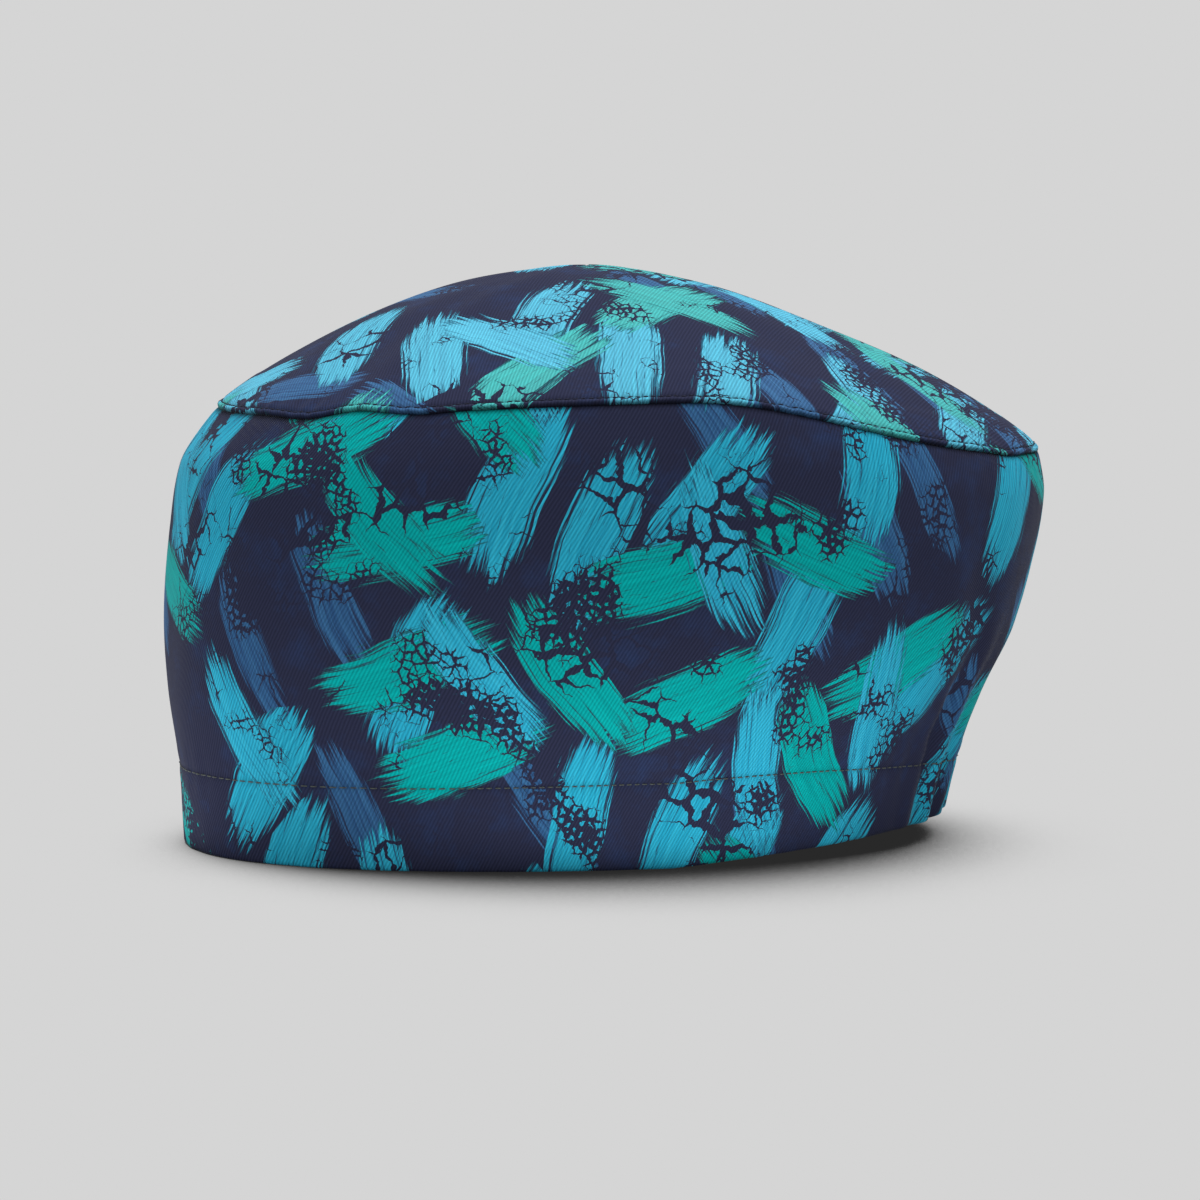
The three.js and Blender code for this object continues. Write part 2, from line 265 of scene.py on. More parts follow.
@dataclass(frozen=True)
class CapForm:
    """The cap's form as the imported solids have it, with the fine relief of sewn cloth.

    Lengths are in millimetres, and what has three values gives them for the front, the side and the back.
    """

    length: float = 225.0
    width: float = 172.0
    crown_height: float = 145.0
    seam_heights: Triple = (109.5, 114.2, 97.5)
    seam_dip: float = 3.5
    back_lift: float = 6.0
    top_forward: float = 5.0
    rim_gap: float = 0.3
    hem_depths: Triple = (20.0, 21.5, 13.5)
    rim_puffs: Triple = (0.5, 0.5, 1.7)
    puff_closeness: float = 8.0
    crown_fullness: Triple = (1.95, 1.95, 1.7)
    squareness: float = 2.15
    elastic_ends: Pair = (140.0, 220.0)
    elastic_taper: float = 8.0
    gather_count: int = 11
    gather_depth: float = 2.2
    gather_reach: float = 45.0
    gather_unevenness: float = 0.16
    gather_drifts: float = 2.5
    gather_onset: float = 3.0
    # rise, then the reach to the front, back and side as shares of half the length or width
    levels: tuple[tuple[float, float, float, float], ...] = (
        (-1, 0.962, 0.757, 0.79), (0, 0.972, 0.786, 0.84), (0.2, 0.993, 0.838, 0.923),
        (0.42, 1, 0.928, 0.98), (0.66, 0.989, 0.978, 1), (0.86, 0.961, 1, 0.978), (1, 0.878, 0.994, 0.931),
    )
    folds: tuple[Fold, ...] = (
        Fold(118, 0.36, 8.8, 25.5, 0.72), Fold(131, 0.42, 7.2, 30, 1.1), Fold(144, 0.4, 6.1, 24, 1.3),
        Fold(138, 0.1, 15.2, 3.6, 0.91), Fold(221, 0.38, 7.2, 28.5, 1.17), Fold(236, 0.44, 8, 30, 0.91),
        Fold(52, 0.55, 16, 22.5, 0.72), Fold(318, 0.5, 15.2, 24, 0.78), Fold(147, 0.2, 3.6, 15, 1.5),
        Fold(156, 0.17, 4.5, 12, -0.9), Fold(166, 0.13, 7, 4.5, 1.1), Fold(135, 0.2, 4.2, 12, -0.5),
        Fold(214, 0.2, 3.6, 15, 1.3), Fold(204, 0.16, 4.5, 12, -0.8),
    )
    seam_waves: tuple[SeamWave, ...] = (
        SeamWave(26, 6, -1.0), SeamWave(36, 5, 0.9), SeamWave(46, 5, -0.5), SeamWave(152, 4, -0.6),
        SeamWave(-30, 6, 0.7), SeamWave(-58, 7, -0.6), SeamWave(-140, 6, 0.7), SeamWave(172, 5, 0.4),
    )
    # depth, waves round the cap, turns up the crown's height, and where they start
    soft_waves: tuple[tuple[float, float, float, float], ...] = (
        (0.20, 7, 1.3, 0.7), (0.16, 11, -2.1, 2.9), (0.12, 17, 2.6, 4.4), (0.08, 26, -1.2, 1.1),
    )
    seam_puckers: WaveTrain = WaveTrain(0.2, 7.0, (88, 97, 121), 3)
    seam_pucker_start: float = 1.2
    seam_tuck: Pair = (0.7, 0.8)  # depth and reach
    hem_puckers: WaveTrain = WaveTrain(0.16, 6.0, (71, 83, 102), 5)
    hem_stitch_dent: Pair = (0.32, 1.3)  # depth and half width
    edge_waves: WaveTrain = WaveTrain(0.22, 0.0, (23, 37, 58), 8)
    quiet_zones: Pair = (12.0, 14.0)  # under the seam and over the edge, where sewing keeps the cloth even
    # distance up from the crown's rim, and how far the turned and topstitched edge stands out there
    welt: tuple[Pair, ...] = (
        (0, -0.6), (0.15, -0.02), (0.4, 0.36), (0.7, 0.44), (1.0, 0.32), (1.3, 0.02), (1.6, 0.16),
        (2.2, 0.36), (3.8, 0.36), (7.0, 0.32), (9.4, 0.3), (11, 0.04), (400, 0),
    )
    back_flatness: float = 0.45
    rope_depth: float = 0.13
    rope_turns: int = 196
    rope_slant: float = 2.2
    rim_puckers: WaveTrain = WaveTrain(0.17, 3.2, (92, 109, 131), 13)
    rim_pucker_line: float = 2.6
    crown_softness: float = 0.8
    crown_quiet: float = 16.0

    def between(self, around: Array, values: Triple) -> Array:
        """Turn three values for front, side and back smoothly into one for each angle."""
        front, side, back = values
        turn = np.radians(around)
        side_share = np.sin(turn) ** 2
        return np.where(np.cos(turn) > 0, front, back) * (1 - side_share) + side * side_share

    def edge(self, around: Array) -> Array:
        """Height of the hem's folded edge."""
        return self.back_lift * np.maximum(0, -np.cos(np.radians(around)))

    def stitches(self, around: Array) -> Array:
        """Height of the hem's line of stitches."""
        return self.edge(around) + self.between(around, self.hem_depths)

    def seam(self, around: Array) -> Array:
        """Height of the seam between band and crown, with its small waves."""
        turn = np.radians(around)
        dip = np.where(np.cos(turn) < 0, self.seam_dip * np.sin(2 * turn) ** 2, 0)
        height = self.between(around, self.seam_heights) - dip
        for wave in self.seam_waves:
            height = height + wave.height * bell(turned_from(around, wave.around), wave.half_width)
        return height

    def rise(self, around: Array, height: Array) -> Array:
        """The rise at a height, which is -1 at the edge, 0 at the stitches and 1 at the seam."""
        low = self.stitches(around)
        span = np.where(height < low, low - self.edge(around), self.seam(around) - low)
        return (height - low) / span

    def reach(self, rise: Array) -> Array:
        """The reach to the front, back and side at a rise, in millimetres, as a last axis of three."""
        table = np.array(self.levels)
        rises, values = table[:, 0], table[:, 1:]
        padded = np.vstack([2 * values[0] - values[1], values, 2 * values[-1] - values[-2]])
        at = np.clip(np.searchsorted(rises, rise, side="left") - 1, 0, len(rises) - 2)
        share = ((rise - rises[at]) / (rises[at + 1] - rises[at]))[..., None]
        before, low, high, after = (padded[at + step] for step in range(4))
        leave, arrive = (high - before) / 2, (after - low) / 2
        curve = (low + leave * share + (3 * (high - low) - 2 * leave - arrive) * share**2
                 + (2 * (low - high) + leave + arrive) * share**3)
        return curve * np.array([self.length, self.length, self.width]) / 2

    def outline(self, around: Array, reach: Array) -> Array:
        """The plan's outline at an angle, as x and y."""
        turn = np.radians(around)
        end = np.where(np.cos(turn) > 0, reach[..., 0], reach[..., 1])
        along = np.abs(np.cos(turn) / end) ** self.squareness
        across = np.abs(np.sin(turn) / reach[..., 2]) ** self.squareness
        radius = (along + across) ** (-1 / self.squareness)
        return np.stack([-radius * np.cos(turn), -radius * np.sin(turn)], -1)

    def fold_depth(self, around: Array, rise: Array) -> Array:
        """How far the soft folds push the band in."""
        wall = self.seam(around) - self.stitches(around)
        depth = np.zeros(np.broadcast(around, rise).shape)
        for fold in self.folds:
            across = np.radians(turned_from(around, fold.around)) * self.width / 2
            up = (rise - fold.rise) * wall
            depth = depth + fold.depth * bell(across, fold.half_width) * bell(up, fold.half_length)
        return depth

    def gathers(self, around: Array, height: Array) -> Array:
        """How far the gathers at the back stand out of the smooth face."""
        start, end = self.elastic_ends
        share = np.clip(((around % 360) - start) / (end - start), 0, 1)
        inwards = np.sin(share * np.pi)
        uneven = self.gather_unevenness * np.sin(2 * self.gather_drifts * np.pi * share) * inwards
        wave = 0.5 - 0.5 * np.cos(2 * np.pi * (share * self.gather_count + uneven))
        onset = np.minimum(1, self.gather_onset * inwards)
        fade = 1 - smoothstep((height - self.stitches(around)) / self.gather_reach)
        return self.gather_depth * wave * onset * fade

    def channel(self, around: Array) -> Array:
        """How open the hem's channel is, from 0 to 1 where the elastic lies."""
        start, end = self.elastic_ends
        turned = around % 360
        beyond = np.maximum(np.maximum(start - turned, turned - end), 0)
        return 1 - smoothstep(beyond / self.elastic_taper)

    def softness(self, around: Array, height: Array) -> Array:
        """Low, broad unevenness of cloth that stands by itself."""
        turn = np.radians(around)
        up = height / self.crown_height * 2 * np.pi
        return sum(depth * np.sin(count * turn + climb * up + start)
                   for depth, count, climb, start in self.soft_waves)

    def hem_edge_waves(self, around: Array, rise: Array) -> Array:
        """How far the hem waves in and out towards its folded edge."""
        return self.edge_waves.at(around) * smoothstep(-rise)

    def band_relief(self, around: Array, height: Array) -> Array:
        """How far the band's outer face stands out of its smooth form: gathers, folds and puckers."""
        rise = self.rise(around, height)
        below_seam = np.maximum(self.seam(around) - height, 0)
        from_stitches = height - self.stitches(around)
        seam_puckers = self.seam_puckers.at(around) * np.exp(-below_seam / self.seam_puckers.reach)
        seam_puckers = seam_puckers * (1 - np.exp(-below_seam / self.seam_pucker_start))
        hem_puckers = self.hem_puckers.at(around) * bell(from_stitches, self.hem_puckers.reach)
        dent, dent_half_width = self.hem_stitch_dent
        tuck, tuck_reach = self.seam_tuck
        under_seam, over_edge = self.quiet_zones
        quiet = smoothstep((self.seam(around) - height) / under_seam)
        quiet = quiet * smoothstep((height - self.edge(around)) / over_edge)
        return (self.gathers(around, height) - self.fold_depth(around, rise) + seam_puckers + hem_puckers
                - dent * bell(from_stitches, dent_half_width) + self.hem_edge_waves(around, rise)
                + self.softness(around, height) * quiet - tuck * np.exp(-below_seam / tuck_reach))

    def band_point(self, around: Array, height: Array, outwards: Array) -> Array:
        """A point at a distance outwards from the band's smooth face."""
        reach = self.reach(self.rise(around, height))
        chord = self.outline(around + 0.5, reach) - self.outline(around - 0.5, reach)
        normal = unit(np.stack([chord[..., 1], -chord[..., 0]], -1))
        plan = self.outline(around, reach) + normal * outwards[..., None]
        return np.concatenate([plan, (height + 0 * outwards)[..., None]], -1)

    def crown_point(self, around: Array, share: Array) -> Array:
        """A point of the crown's smooth face. share is 0 at its top and 1 at its rim."""
        rim_plan = self.outline(around, self.reach(np.ones(np.shape(around))))
        plan = np.array([-self.top_forward, 0.0]) * (1 - share[..., None]) + rim_plan * share[..., None]
        rim = self.seam(around) + self.rim_gap
        highest = self.puff_closeness / (self.puff_closeness + 1)
        puff = share**self.puff_closeness * (1 - share) / (highest**self.puff_closeness * (1 - highest))
        fall = np.abs(share) ** self.between(around, self.crown_fullness)
        top = rim + (self.crown_height - rim) * (1 - fall)
        return np.concatenate([plan, (top + self.between(around, self.rim_puffs) * puff)[..., None]], -1)

    def crown_layer(self, around: Array, distance: Array, outwards: Array) -> Array:
        """A point at a distance up from the crown's rim and outwards from its smooth face, square to it."""
        share = 1 - distance / self.slope_length(around)
        along = self.crown_point(around + 0.5, share) - self.crown_point(around - 0.5, share)
        up_slope = self.crown_point(around, share - 0.01) - self.crown_point(around, share)
        return self.crown_point(around, share) + unit(np.cross(along, up_slope)) * outwards[..., None]

    def slope_length(self, around: Array) -> Array:
        """Distance in plan from the crown's top to its rim."""
        rim = self.crown_point(around, np.ones(np.shape(around)))
        return np.hypot(rim[..., 0] + self.top_forward, rim[..., 1])

    def crown_relief(self, around: Array, distance: Array) -> Array:
        """How far the crown stands out of its smooth form, at a distance up from its rim.

        The turned edge makes a round welt, the topstitching pulls it down, and the cloth puffs up again
        over the seam allowance before it settles.
        """
        stops, proud = zip(*self.welt)
        turn = np.radians(around)
        flatter = 1 - self.back_flatness * smoothstep((-np.cos(turn) - 0.75) / 0.2)
        rope = self.rope_depth * (0.55 + 0.45 * np.sin(2 * turn + 0.4) * np.sin(5 * turn + 1.0))
        rope = rope * np.sin(self.rope_turns * turn + self.rope_slant * distance) * bell(distance - 0.6, 0.6)
        puckers = self.rim_puckers.at(around) * bell(distance - self.rim_pucker_line, self.rim_puckers.reach)
        soft = self.crown_softness * self.softness(around * 0.6 + 40, distance * 1.3)
        soft = soft * smoothstep(distance / self.crown_quiet)
        near_top = smoothstep(self.slope_length(around) / 60 - distance / 90)
        return np.interp(distance, stops, proud) * flatter + rope + puckers + soft * near_top


# The finishes


@dataclass(frozen=True)
class StrokeLayer:
    """One layer of printed brush dabs, laid out in leaning cells of cloth. Millimetres and degrees."""

    colour: str
    colour_lit: str
    direction: float
    cell_length: float
    cell_width: float
    half_length: float
    half_width: float
    bend: float
    swing: float
    share: float
    shift: Pair


@dataclass(frozen=True)
class Breaks:
    """Patches where the printed ink broke into flakes, in millimetres and shares of a flake."""

    size: float
    patch: float
    begins: float
    widest: float


@dataclass(frozen=True)
class DryBrush:
    """How one dab of a dry brush looks.

    The streaks are noise cells to a millimetre along and across a dab, and from one dab to the next. Each
    edge is a pair of noise levels between which the ink fades out.
    """

    bristles: Triple = (0.035, 1.5, 40.0)
    scratches: Triple = (0.16, 2.4, 17.0)
    end_power: float = 3.4
    side_power: float = 3.6
    taper: float = 0.3
    raggedness: float = 4.2
    fringe_raggedness: float = 2.2
    dab_edge: Pair = (2.86, 2.66)
    scratch_edge: Pair = (0.69, 0.65)
    fringe_edge: Pair = (4.12, 3.96)
    tone_range: Pair = (0.32, 0.62)


@dataclass(frozen=True)
class PrintedTwill:
    """Cotton and polyester twill, reactive printed.

    A woven cloth with a steep diagonal wale that shows as fine slanting lines, matt with a faint sheen at
    grazing angles. Its real wale of about 0.5 mm is too fine for the render, so it is drawn at 0.85 mm. The
    print is a generic spread of leaf-like dry-brush dabs in sea green and sky blue on midnight blue, with
    thin ink at their ends and fine dark cracks where the ink broke. The crown's inks are painted a shade
    paler, a painted sheen where the light from above grazes the crown.
    """

    ground: str = "2b2e45"
    ground_wash: str = "2b3f68"
    wash_share: float = 0.55
    wrong_side_haze: str = "8fa3b4"
    wrong_side_share: float = 0.62
    wale_pitch: float = 0.85
    wale_angle: float = 57.0
    crease_pitch: float = 0.85
    slub_share: float = 0.3
    crease_relief: float = 3.0
    # painted shade and highlight of the weave's ribs and slubs, darkest and lightest, multiplied into the
    # colour
    painted_weave_shades: Pair = (0.68, 1.18)
    # how dark the painted shade in seams and stitch lines gets
    ditch_shade: float = 0.22
    relief_mm: float = 0.16
    roughness: float = 0.85
    specular: float = 0.04
    sheen: float = 0.06
    # a painted sheen: how far the inks are painted paler, towards white
    painted_sheen_share: float = 0.0
    thin_ink_share: float = 0.3
    hand_drift: float = 5.0  # how far the drawn lines wander, in millimetres
    brush: DryBrush = DryBrush()
    layers: tuple[StrokeLayer, ...] = (
        StrokeLayer("3d6e9a", "2b4d78", 118, 56, 26, 20, 6.2, 0.002, 10, 0.45, (80, 33)),
        StrokeLayer("32b2d0", "2198b8", 62, 57, 28, 22.5, 8.3, 0.002, 13, 0.7, (46, 89)),
        StrokeLayer("04b0ae", "049a9a", 24, 62, 30, 23, 8.3, -0.002, 14, 0.58, (84, 68)),
        StrokeLayer("3ab8d6", "269ec0", 108, 68, 35, 21, 7.4, 0.003, 18, 0.48, (4, 60)),
        StrokeLayer("04aeac", "049898", 140, 68, 35, 22, 7.8, 0.002, 18, 0.43, (32, 84)),
    )
    breaks: tuple[Breaks, ...] = (Breaks(6.5, 34, 0.5, 0.13), Breaks(2.4, 26, 0.53, 0.3))

    def dab_group(self) -> Tree:
        """A node group that draws one layer of brush dabs.

        Returns:
            The group. Its inputs are the place on the cloth, the layer's direction in radians and its sizes
            in millimetres. Its outputs are the masks of full ink and of thin ink round it, and a tone
            along the bristles.
        """
        brush = self.brush
        group = bpy.data.node_groups.new("brush_dabs", "ShaderNodeTree")
        for name, kind in (("Cloth", "Vector"), ("Direction", "Float"), ("Cell", "Vector"),
                           ("Half size", "Vector"), ("Bend", "Float"), ("Swing", "Float"),
                           ("Share", "Float"), ("Shift", "Vector")):
            group.interface.new_socket(name, in_out="INPUT", socket_type=f"NodeSocket{kind}")
        for name in ("Mask", "Fringe", "Tone"):
            group.interface.new_socket(name, in_out="OUTPUT", socket_type="NodeSocketFloat")
        into = add_node(group, "NodeGroupInput").outputs

        moved = add_node(group, "VectorMath", {0: into["Cloth"], 1: into["Shift"]}, operation="ADD")
        turned = add_node(group, "VectorRotate", {"Vector": moved, "Angle": into["Direction"]},
                          rotation_type="Z_AXIS", invert=True)
        scaled = add_node(group, "VectorMath", {0: turned, 1: into["Cell"]}, operation="DIVIDE")
        cells = add_node(group, "TexVoronoi", {"Vector": scaled, "Scale": 1.0, "Randomness": 0.5},
                         voronoi_dimensions="2D", feature="F1")
        away = add_node(group, "VectorMath", {0: scaled, 1: cells.outputs["Position"]}, operation="SUBTRACT")
        away_mm = add_node(group, "VectorMath", {0: away, 1: into["Cell"]}, operation="MULTIPLY")
        chance = add_node(group, "SeparateColor", {0: cells.outputs["Color"]}).outputs
        lean = add_node(group, "Math", {0: chance[0], 1: 0.5}, operation="SUBTRACT")
        angle = add_node(group, "Math", {0: lean, 1: into["Swing"]}, operation="MULTIPLY")
        own = add_node(group, "VectorRotate", {"Vector": away_mm, "Angle": angle}, rotation_type="Z_AXIS")
        place = add_node(group, "SeparateXYZ", {0: own}).outputs
        bow = add_node(group, "Math", {0: place[0], 1: place[0]}, operation="MULTIPLY")
        across = add_node(group, "Math", {0: bow, 1: into["Bend"], 2: place[1]}, operation="MULTIPLY_ADD")
        dab_place = add_node(group, "CombineXYZ", {0: place[0], 1: across, 2: chance[1]})

        stretched = add_node(group, "VectorMath", {0: dab_place, 1: brush.bristles}, operation="MULTIPLY")
        bristles = add_node(group, "TexNoise",
                            {"Vector": stretched, "Scale": 1.0, "Detail": 4.0, "Roughness": 0.62})
        finer = add_node(group, "VectorMath", {0: dab_place, 1: brush.scratches}, operation="MULTIPLY")
        scratches = add_node(group, "TexNoise",
                             {"Vector": finer, "Scale": 1.0, "Detail": 3.0, "Roughness": 0.6})

        shares = add_node(group, "VectorMath", {0: dab_place, 1: into["Half size"]}, operation="DIVIDE")
        spread = add_node(group, "VectorMath", {0: shares}, operation="ABSOLUTE")
        parts = add_node(group, "SeparateXYZ", {0: spread}).outputs
        to_end = add_node(group, "Math", {0: parts[0], 1: brush.end_power}, operation="POWER")
        leaf = add_node(group, "Math", {0: to_end, 1: brush.taper, 2: 1.0}, operation="MULTIPLY_ADD")
        leaf_share = add_node(group, "Math", {0: parts[1], 1: leaf}, operation="MULTIPLY")
        to_side = add_node(group, "Math", {0: leaf_share, 1: brush.side_power}, operation="POWER")
        reach = add_node(group, "Math", {0: to_end, 1: to_side}, operation="ADD")
        edge = add_node(group, "Math", {0: bristles.outputs["Fac"], 1: brush.raggedness, 2: reach},
                        operation="MULTIPLY_ADD")
        thin_edge = add_node(group, "Math",
                             {0: scratches.outputs["Fac"], 1: brush.fringe_raggedness, 2: edge},
                             operation="MULTIPLY_ADD")
        dab, whole, thin = (
            add_node(group, "MapRange", {"Value": level, "From Min": fades[0], "From Max": fades[1]},
                     interpolation_type="SMOOTHSTEP")
            for level, fades in ((edge, brush.dab_edge), (scratches.outputs["Fac"], brush.scratch_edge),
                                 (thin_edge, brush.fringe_edge)))
        full = add_node(group, "Math", {0: dab, 1: whole}, operation="MULTIPLY")
        kept = add_node(group, "Math", {0: chance[2], 1: into["Share"]}, operation="LESS_THAN")
        mask, fringe = (add_node(group, "Math", {0: ink, 1: kept}, operation="MULTIPLY")
                        for ink in (full, thin))
        tone = add_node(group, "MapRange", {"Value": bristles.outputs["Fac"],
                                            "From Min": brush.tone_range[0], "From Max": brush.tone_range[1]})
        add_node(group, "NodeGroupOutput", {"Mask": mask, "Fringe": fringe, "Tone": tone})
        return group

    def print_colour(self, tree: Tree, cloth: bpy.types.NodeSocket, dabs: Tree) -> bpy.types.NodeSocket:
        """Lay the print's layers over the dyed ground.

        Args:
            tree: The material's node tree.
            cloth: The place on the flat cloth in millimetres.
            dabs: The node group of one layer of dabs.

        Returns:
            The colour of the printed cloth.
        """
        warp = add_node(tree, "TexNoise", {"Vector": cloth, "Scale": 0.035, "Detail": 2.0})
        centred = add_node(tree, "VectorMath", {0: warp.outputs["Color"], 1: (0.5, 0.5, 0.5)},
                           operation="SUBTRACT")
        hand = add_node(tree, "VectorMath", {0: centred, 1: (self.hand_drift, self.hand_drift, 0), 2: cloth},
                        operation="MULTIPLY_ADD")
        dye = add_node(tree, "TexNoise", {"Vector": cloth, "Scale": 0.06, "Detail": 5.0, "Roughness": 0.7})
        washed = add_node(tree, "MapRange", {"Value": dye.outputs["Fac"], "From Min": 0.5, "From Max": 0.75,
                                             "To Max": self.wash_share})
        ground = add_node(tree, "Mix", {0: washed, 6: linear(self.ground), 7: linear(self.ground_wash)},
                          data_type="RGBA")
        colour = ground.outputs[2]
        for layer in self.layers:
            drawn = add_node(
                tree, "Group",
                {"Cloth": hand, "Direction": math.radians(layer.direction),
                 "Cell": (layer.cell_length, layer.cell_width, 1.0),
                 "Half size": (layer.half_length, layer.half_width, 1.0), "Bend": layer.bend,
                 "Swing": math.radians(layer.swing * 2), "Share": layer.share, "Shift": (*layer.shift, 0.0)},
                node_tree=dabs).outputs
            colour = self.inked(tree, colour, drawn, layer)
        for breaks in self.breaks:
            colour = self.cracked(tree, colour, cloth, hand, breaks)
        return colour

    def inked(self, tree: Tree, colour: bpy.types.NodeSocket, drawn: bpy.types.NodeOutputs,
              layer: StrokeLayer) -> bpy.types.NodeSocket:
        """Lay one layer of ink over a colour, thin round each dab and dense in it.

        Args:
            tree: The material's node tree.
            colour: The colour under the layer.
            drawn: The outputs of the layer's dabs.
            layer: The layer.

        Returns:
            The colour with the ink on it.
        """
        pale = self.painted_sheen_share * min(1.0, 2.2 * linear(layer.colour)[1]) ** 2  # the painted sheen is kept off the dark inks
        dense, sparse = (tuple(tint + (1 - tint) * pale for tint in linear(hex_colour))
                         for hex_colour in (layer.colour, layer.colour_lit))
        thin = tuple((1 - self.thin_ink_share) * dyed + self.thin_ink_share * inked
                     for dyed, inked in zip(linear(self.ground), linear(layer.colour_lit)))
        ink = add_node(tree, "Mix", {0: drawn["Tone"], 6: dense, 7: sparse}, data_type="RGBA")
        fringed = add_node(tree, "Mix", {0: drawn["Fringe"], 6: colour, 7: thin}, data_type="RGBA")
        laid = add_node(tree, "Mix", {0: drawn["Mask"], 6: fringed.outputs[2], 7: ink.outputs[2]},
                        data_type="RGBA")
        return laid.outputs[2]

    def cracked(self, tree: Tree, colour: bpy.types.NodeSocket, cloth: bpy.types.NodeSocket,
                hand: bpy.types.Node, breaks: Breaks) -> bpy.types.NodeSocket:
        """Break a colour into flakes with the ground between them, in patches.

        Args:
            tree: The material's node tree.
            colour: The printed colour.
            cloth: The place on the flat cloth in millimetres.
            hand: The node that gives that place with the drift of the drawn lines.
            breaks: The flakes' sizes.

        Returns:
            The colour with its cracks.
        """
        crumble = add_node(tree, "TexNoise", {"Vector": cloth, "Scale": 1.3 / breaks.size, "Detail": 3.0})
        uneven = add_node(tree, "VectorMath", {0: crumble.outputs["Color"], "Scale": breaks.size * 0.9},
                          operation="SCALE")
        broken = add_node(tree, "VectorMath", {0: hand, 1: uneven}, operation="ADD")
        flakes = add_node(tree, "TexVoronoi", {"Vector": broken, "Scale": 1 / breaks.size},
                          voronoi_dimensions="2D", feature="DISTANCE_TO_EDGE")
        region = add_node(tree, "TexNoise", {"Vector": cloth, "Scale": 1 / breaks.patch, "Detail": 2.0,
                                             "W": breaks.size}, noise_dimensions="4D")
        width = add_node(tree, "MapRange",
                         {"Value": region.outputs["Fac"], "From Min": breaks.begins,
                          "From Max": breaks.begins + 0.18, "To Min": -0.01, "To Max": breaks.widest})
        chipped = add_node(tree, "TexNoise", {"Vector": broken, "Scale": 2.6 / breaks.size, "Detail": 2.0,
                                              "Roughness": 0.6})
        chips = add_node(tree, "Math", {0: chipped.outputs["Fac"], 1: width}, operation="MULTIPLY")
        chipped_width = add_node(tree, "Math", {0: chips, 1: 3.4, 2: -0.02}, operation="MULTIPLY_ADD")
        open_crack = add_node(tree, "Math", {0: flakes.outputs["Distance"], 1: chipped_width},
                              operation="LESS_THAN")
        shown = add_node(tree, "Mix", {0: open_crack, 6: colour, 7: linear(self.ground)}, data_type="RGBA")
        return shown.outputs[2]

    def material(self, side: Side, dabs: Tree) -> bpy.types.Material:
        """The material of one face of the cloth.

        Args:
            side: The printed right side, or the paler wrong side with the print showing through.
            dabs: The node group of one layer of dabs.

        Returns:
            The material.
        """
        waves = {"wave_type": "BANDS", "bands_direction": "X", "wave_profile": "SIN"}

        def dress(tree: Tree) -> bpy.types.Node:
            """Weave, print and crease the cloth."""
            cloth = add_node(tree, "UVMap", uv_map=CLOTH_MAP).outputs[0]
            colour = self.print_colour(tree, cloth, dabs)
            if side is Side.WRONG:
                colour = add_node(tree, "Mix", {0: self.wrong_side_share, 6: colour,
                                                7: linear(self.wrong_side_haze)}, data_type="RGBA").outputs[2]
            wale = add_node(tree, "VectorRotate",
                            {"Vector": cloth, "Angle": math.radians(90 - self.wale_angle)},
                            rotation_type="Z_AXIS")
            ribs = add_node(tree, "TexWave",
                            {"Vector": wale, "Scale": math.pi / (10 * self.wale_pitch), "Distortion": 0.6,
                             "Detail": 1.0, "Detail Scale": 1.4}, **waves)
            slub = add_node(tree, "TexNoise", {"Vector": cloth, "Scale": 1.8, "Detail": 3.0,
                                               "Roughness": 0.65})
            weave = add_node(tree, "Mix", {0: self.slub_share, 2: ribs.outputs["Fac"],
                                           3: slub.outputs["Fac"]}, data_type="FLOAT")
            # the weave's relief also darkens and lightens the colour: painted shade in its hollows, painted
            # highlight on its ribs
            darkest, lightest = self.painted_weave_shades
            shade = add_node(tree, "MapRange", {"Value": weave, "To Min": darkest, "To Max": lightest})
            drawn = add_node(tree, "Attribute", attribute_name=PUCKERED).outputs["Fac"]
            creases = add_node(tree, "TexWave",
                               {"Vector": cloth, "Scale": math.pi / (10 * self.crease_pitch),
                                "Distortion": 1.6, "Detail": 1.0, "Detail Scale": 0.5}, **waves)
            crease_depth = add_node(tree, "Math", {0: creases.outputs["Fac"], 1: drawn},
                                    operation="MULTIPLY")
            relief = add_node(tree, "Math", {0: crease_depth, 1: self.crease_relief, 2: weave},
                              operation="MULTIPLY_ADD")
            # painted shade in the seam's hollow and along the stitch lines
            painted_seam_shade = add_node(tree, "Attribute", attribute_name=PAINTED_SEAM_SHADE).outputs["Fac"]
            seam_shading = add_node(tree, "MapRange", {"Value": painted_seam_shade, "To Min": 1.0, "To Max": self.ditch_shade})
            # the painted shades of the weave and of the seams, laid over the print
            both = add_node(tree, "Math", {0: shade, 1: seam_shading}, operation="MULTIPLY")
            woven = add_node(tree, "VectorMath", {0: colour, "Scale": both}, operation="SCALE")
            bump = add_node(tree, "Bump", {"Height": relief, "Strength": 0.75,
                                           "Distance": self.relief_mm * MILLIMETRE})
            return add_node(tree, "BsdfPrincipled",
                            {"Base Color": woven, "Normal": bump, "Roughness": self.roughness, "IOR": 1.5,
                             "Specular IOR Level": self.specular, "Sheen Weight": self.sheen,
                             "Sheen Roughness": 0.3})

        # the material with the painted sheen gets a name of its own
        shade_name = "_painted_sheen" if self.painted_sheen_share else ""
        return new_material(f"printed_twill_{side.name.lower()}_side{shade_name}", dress)


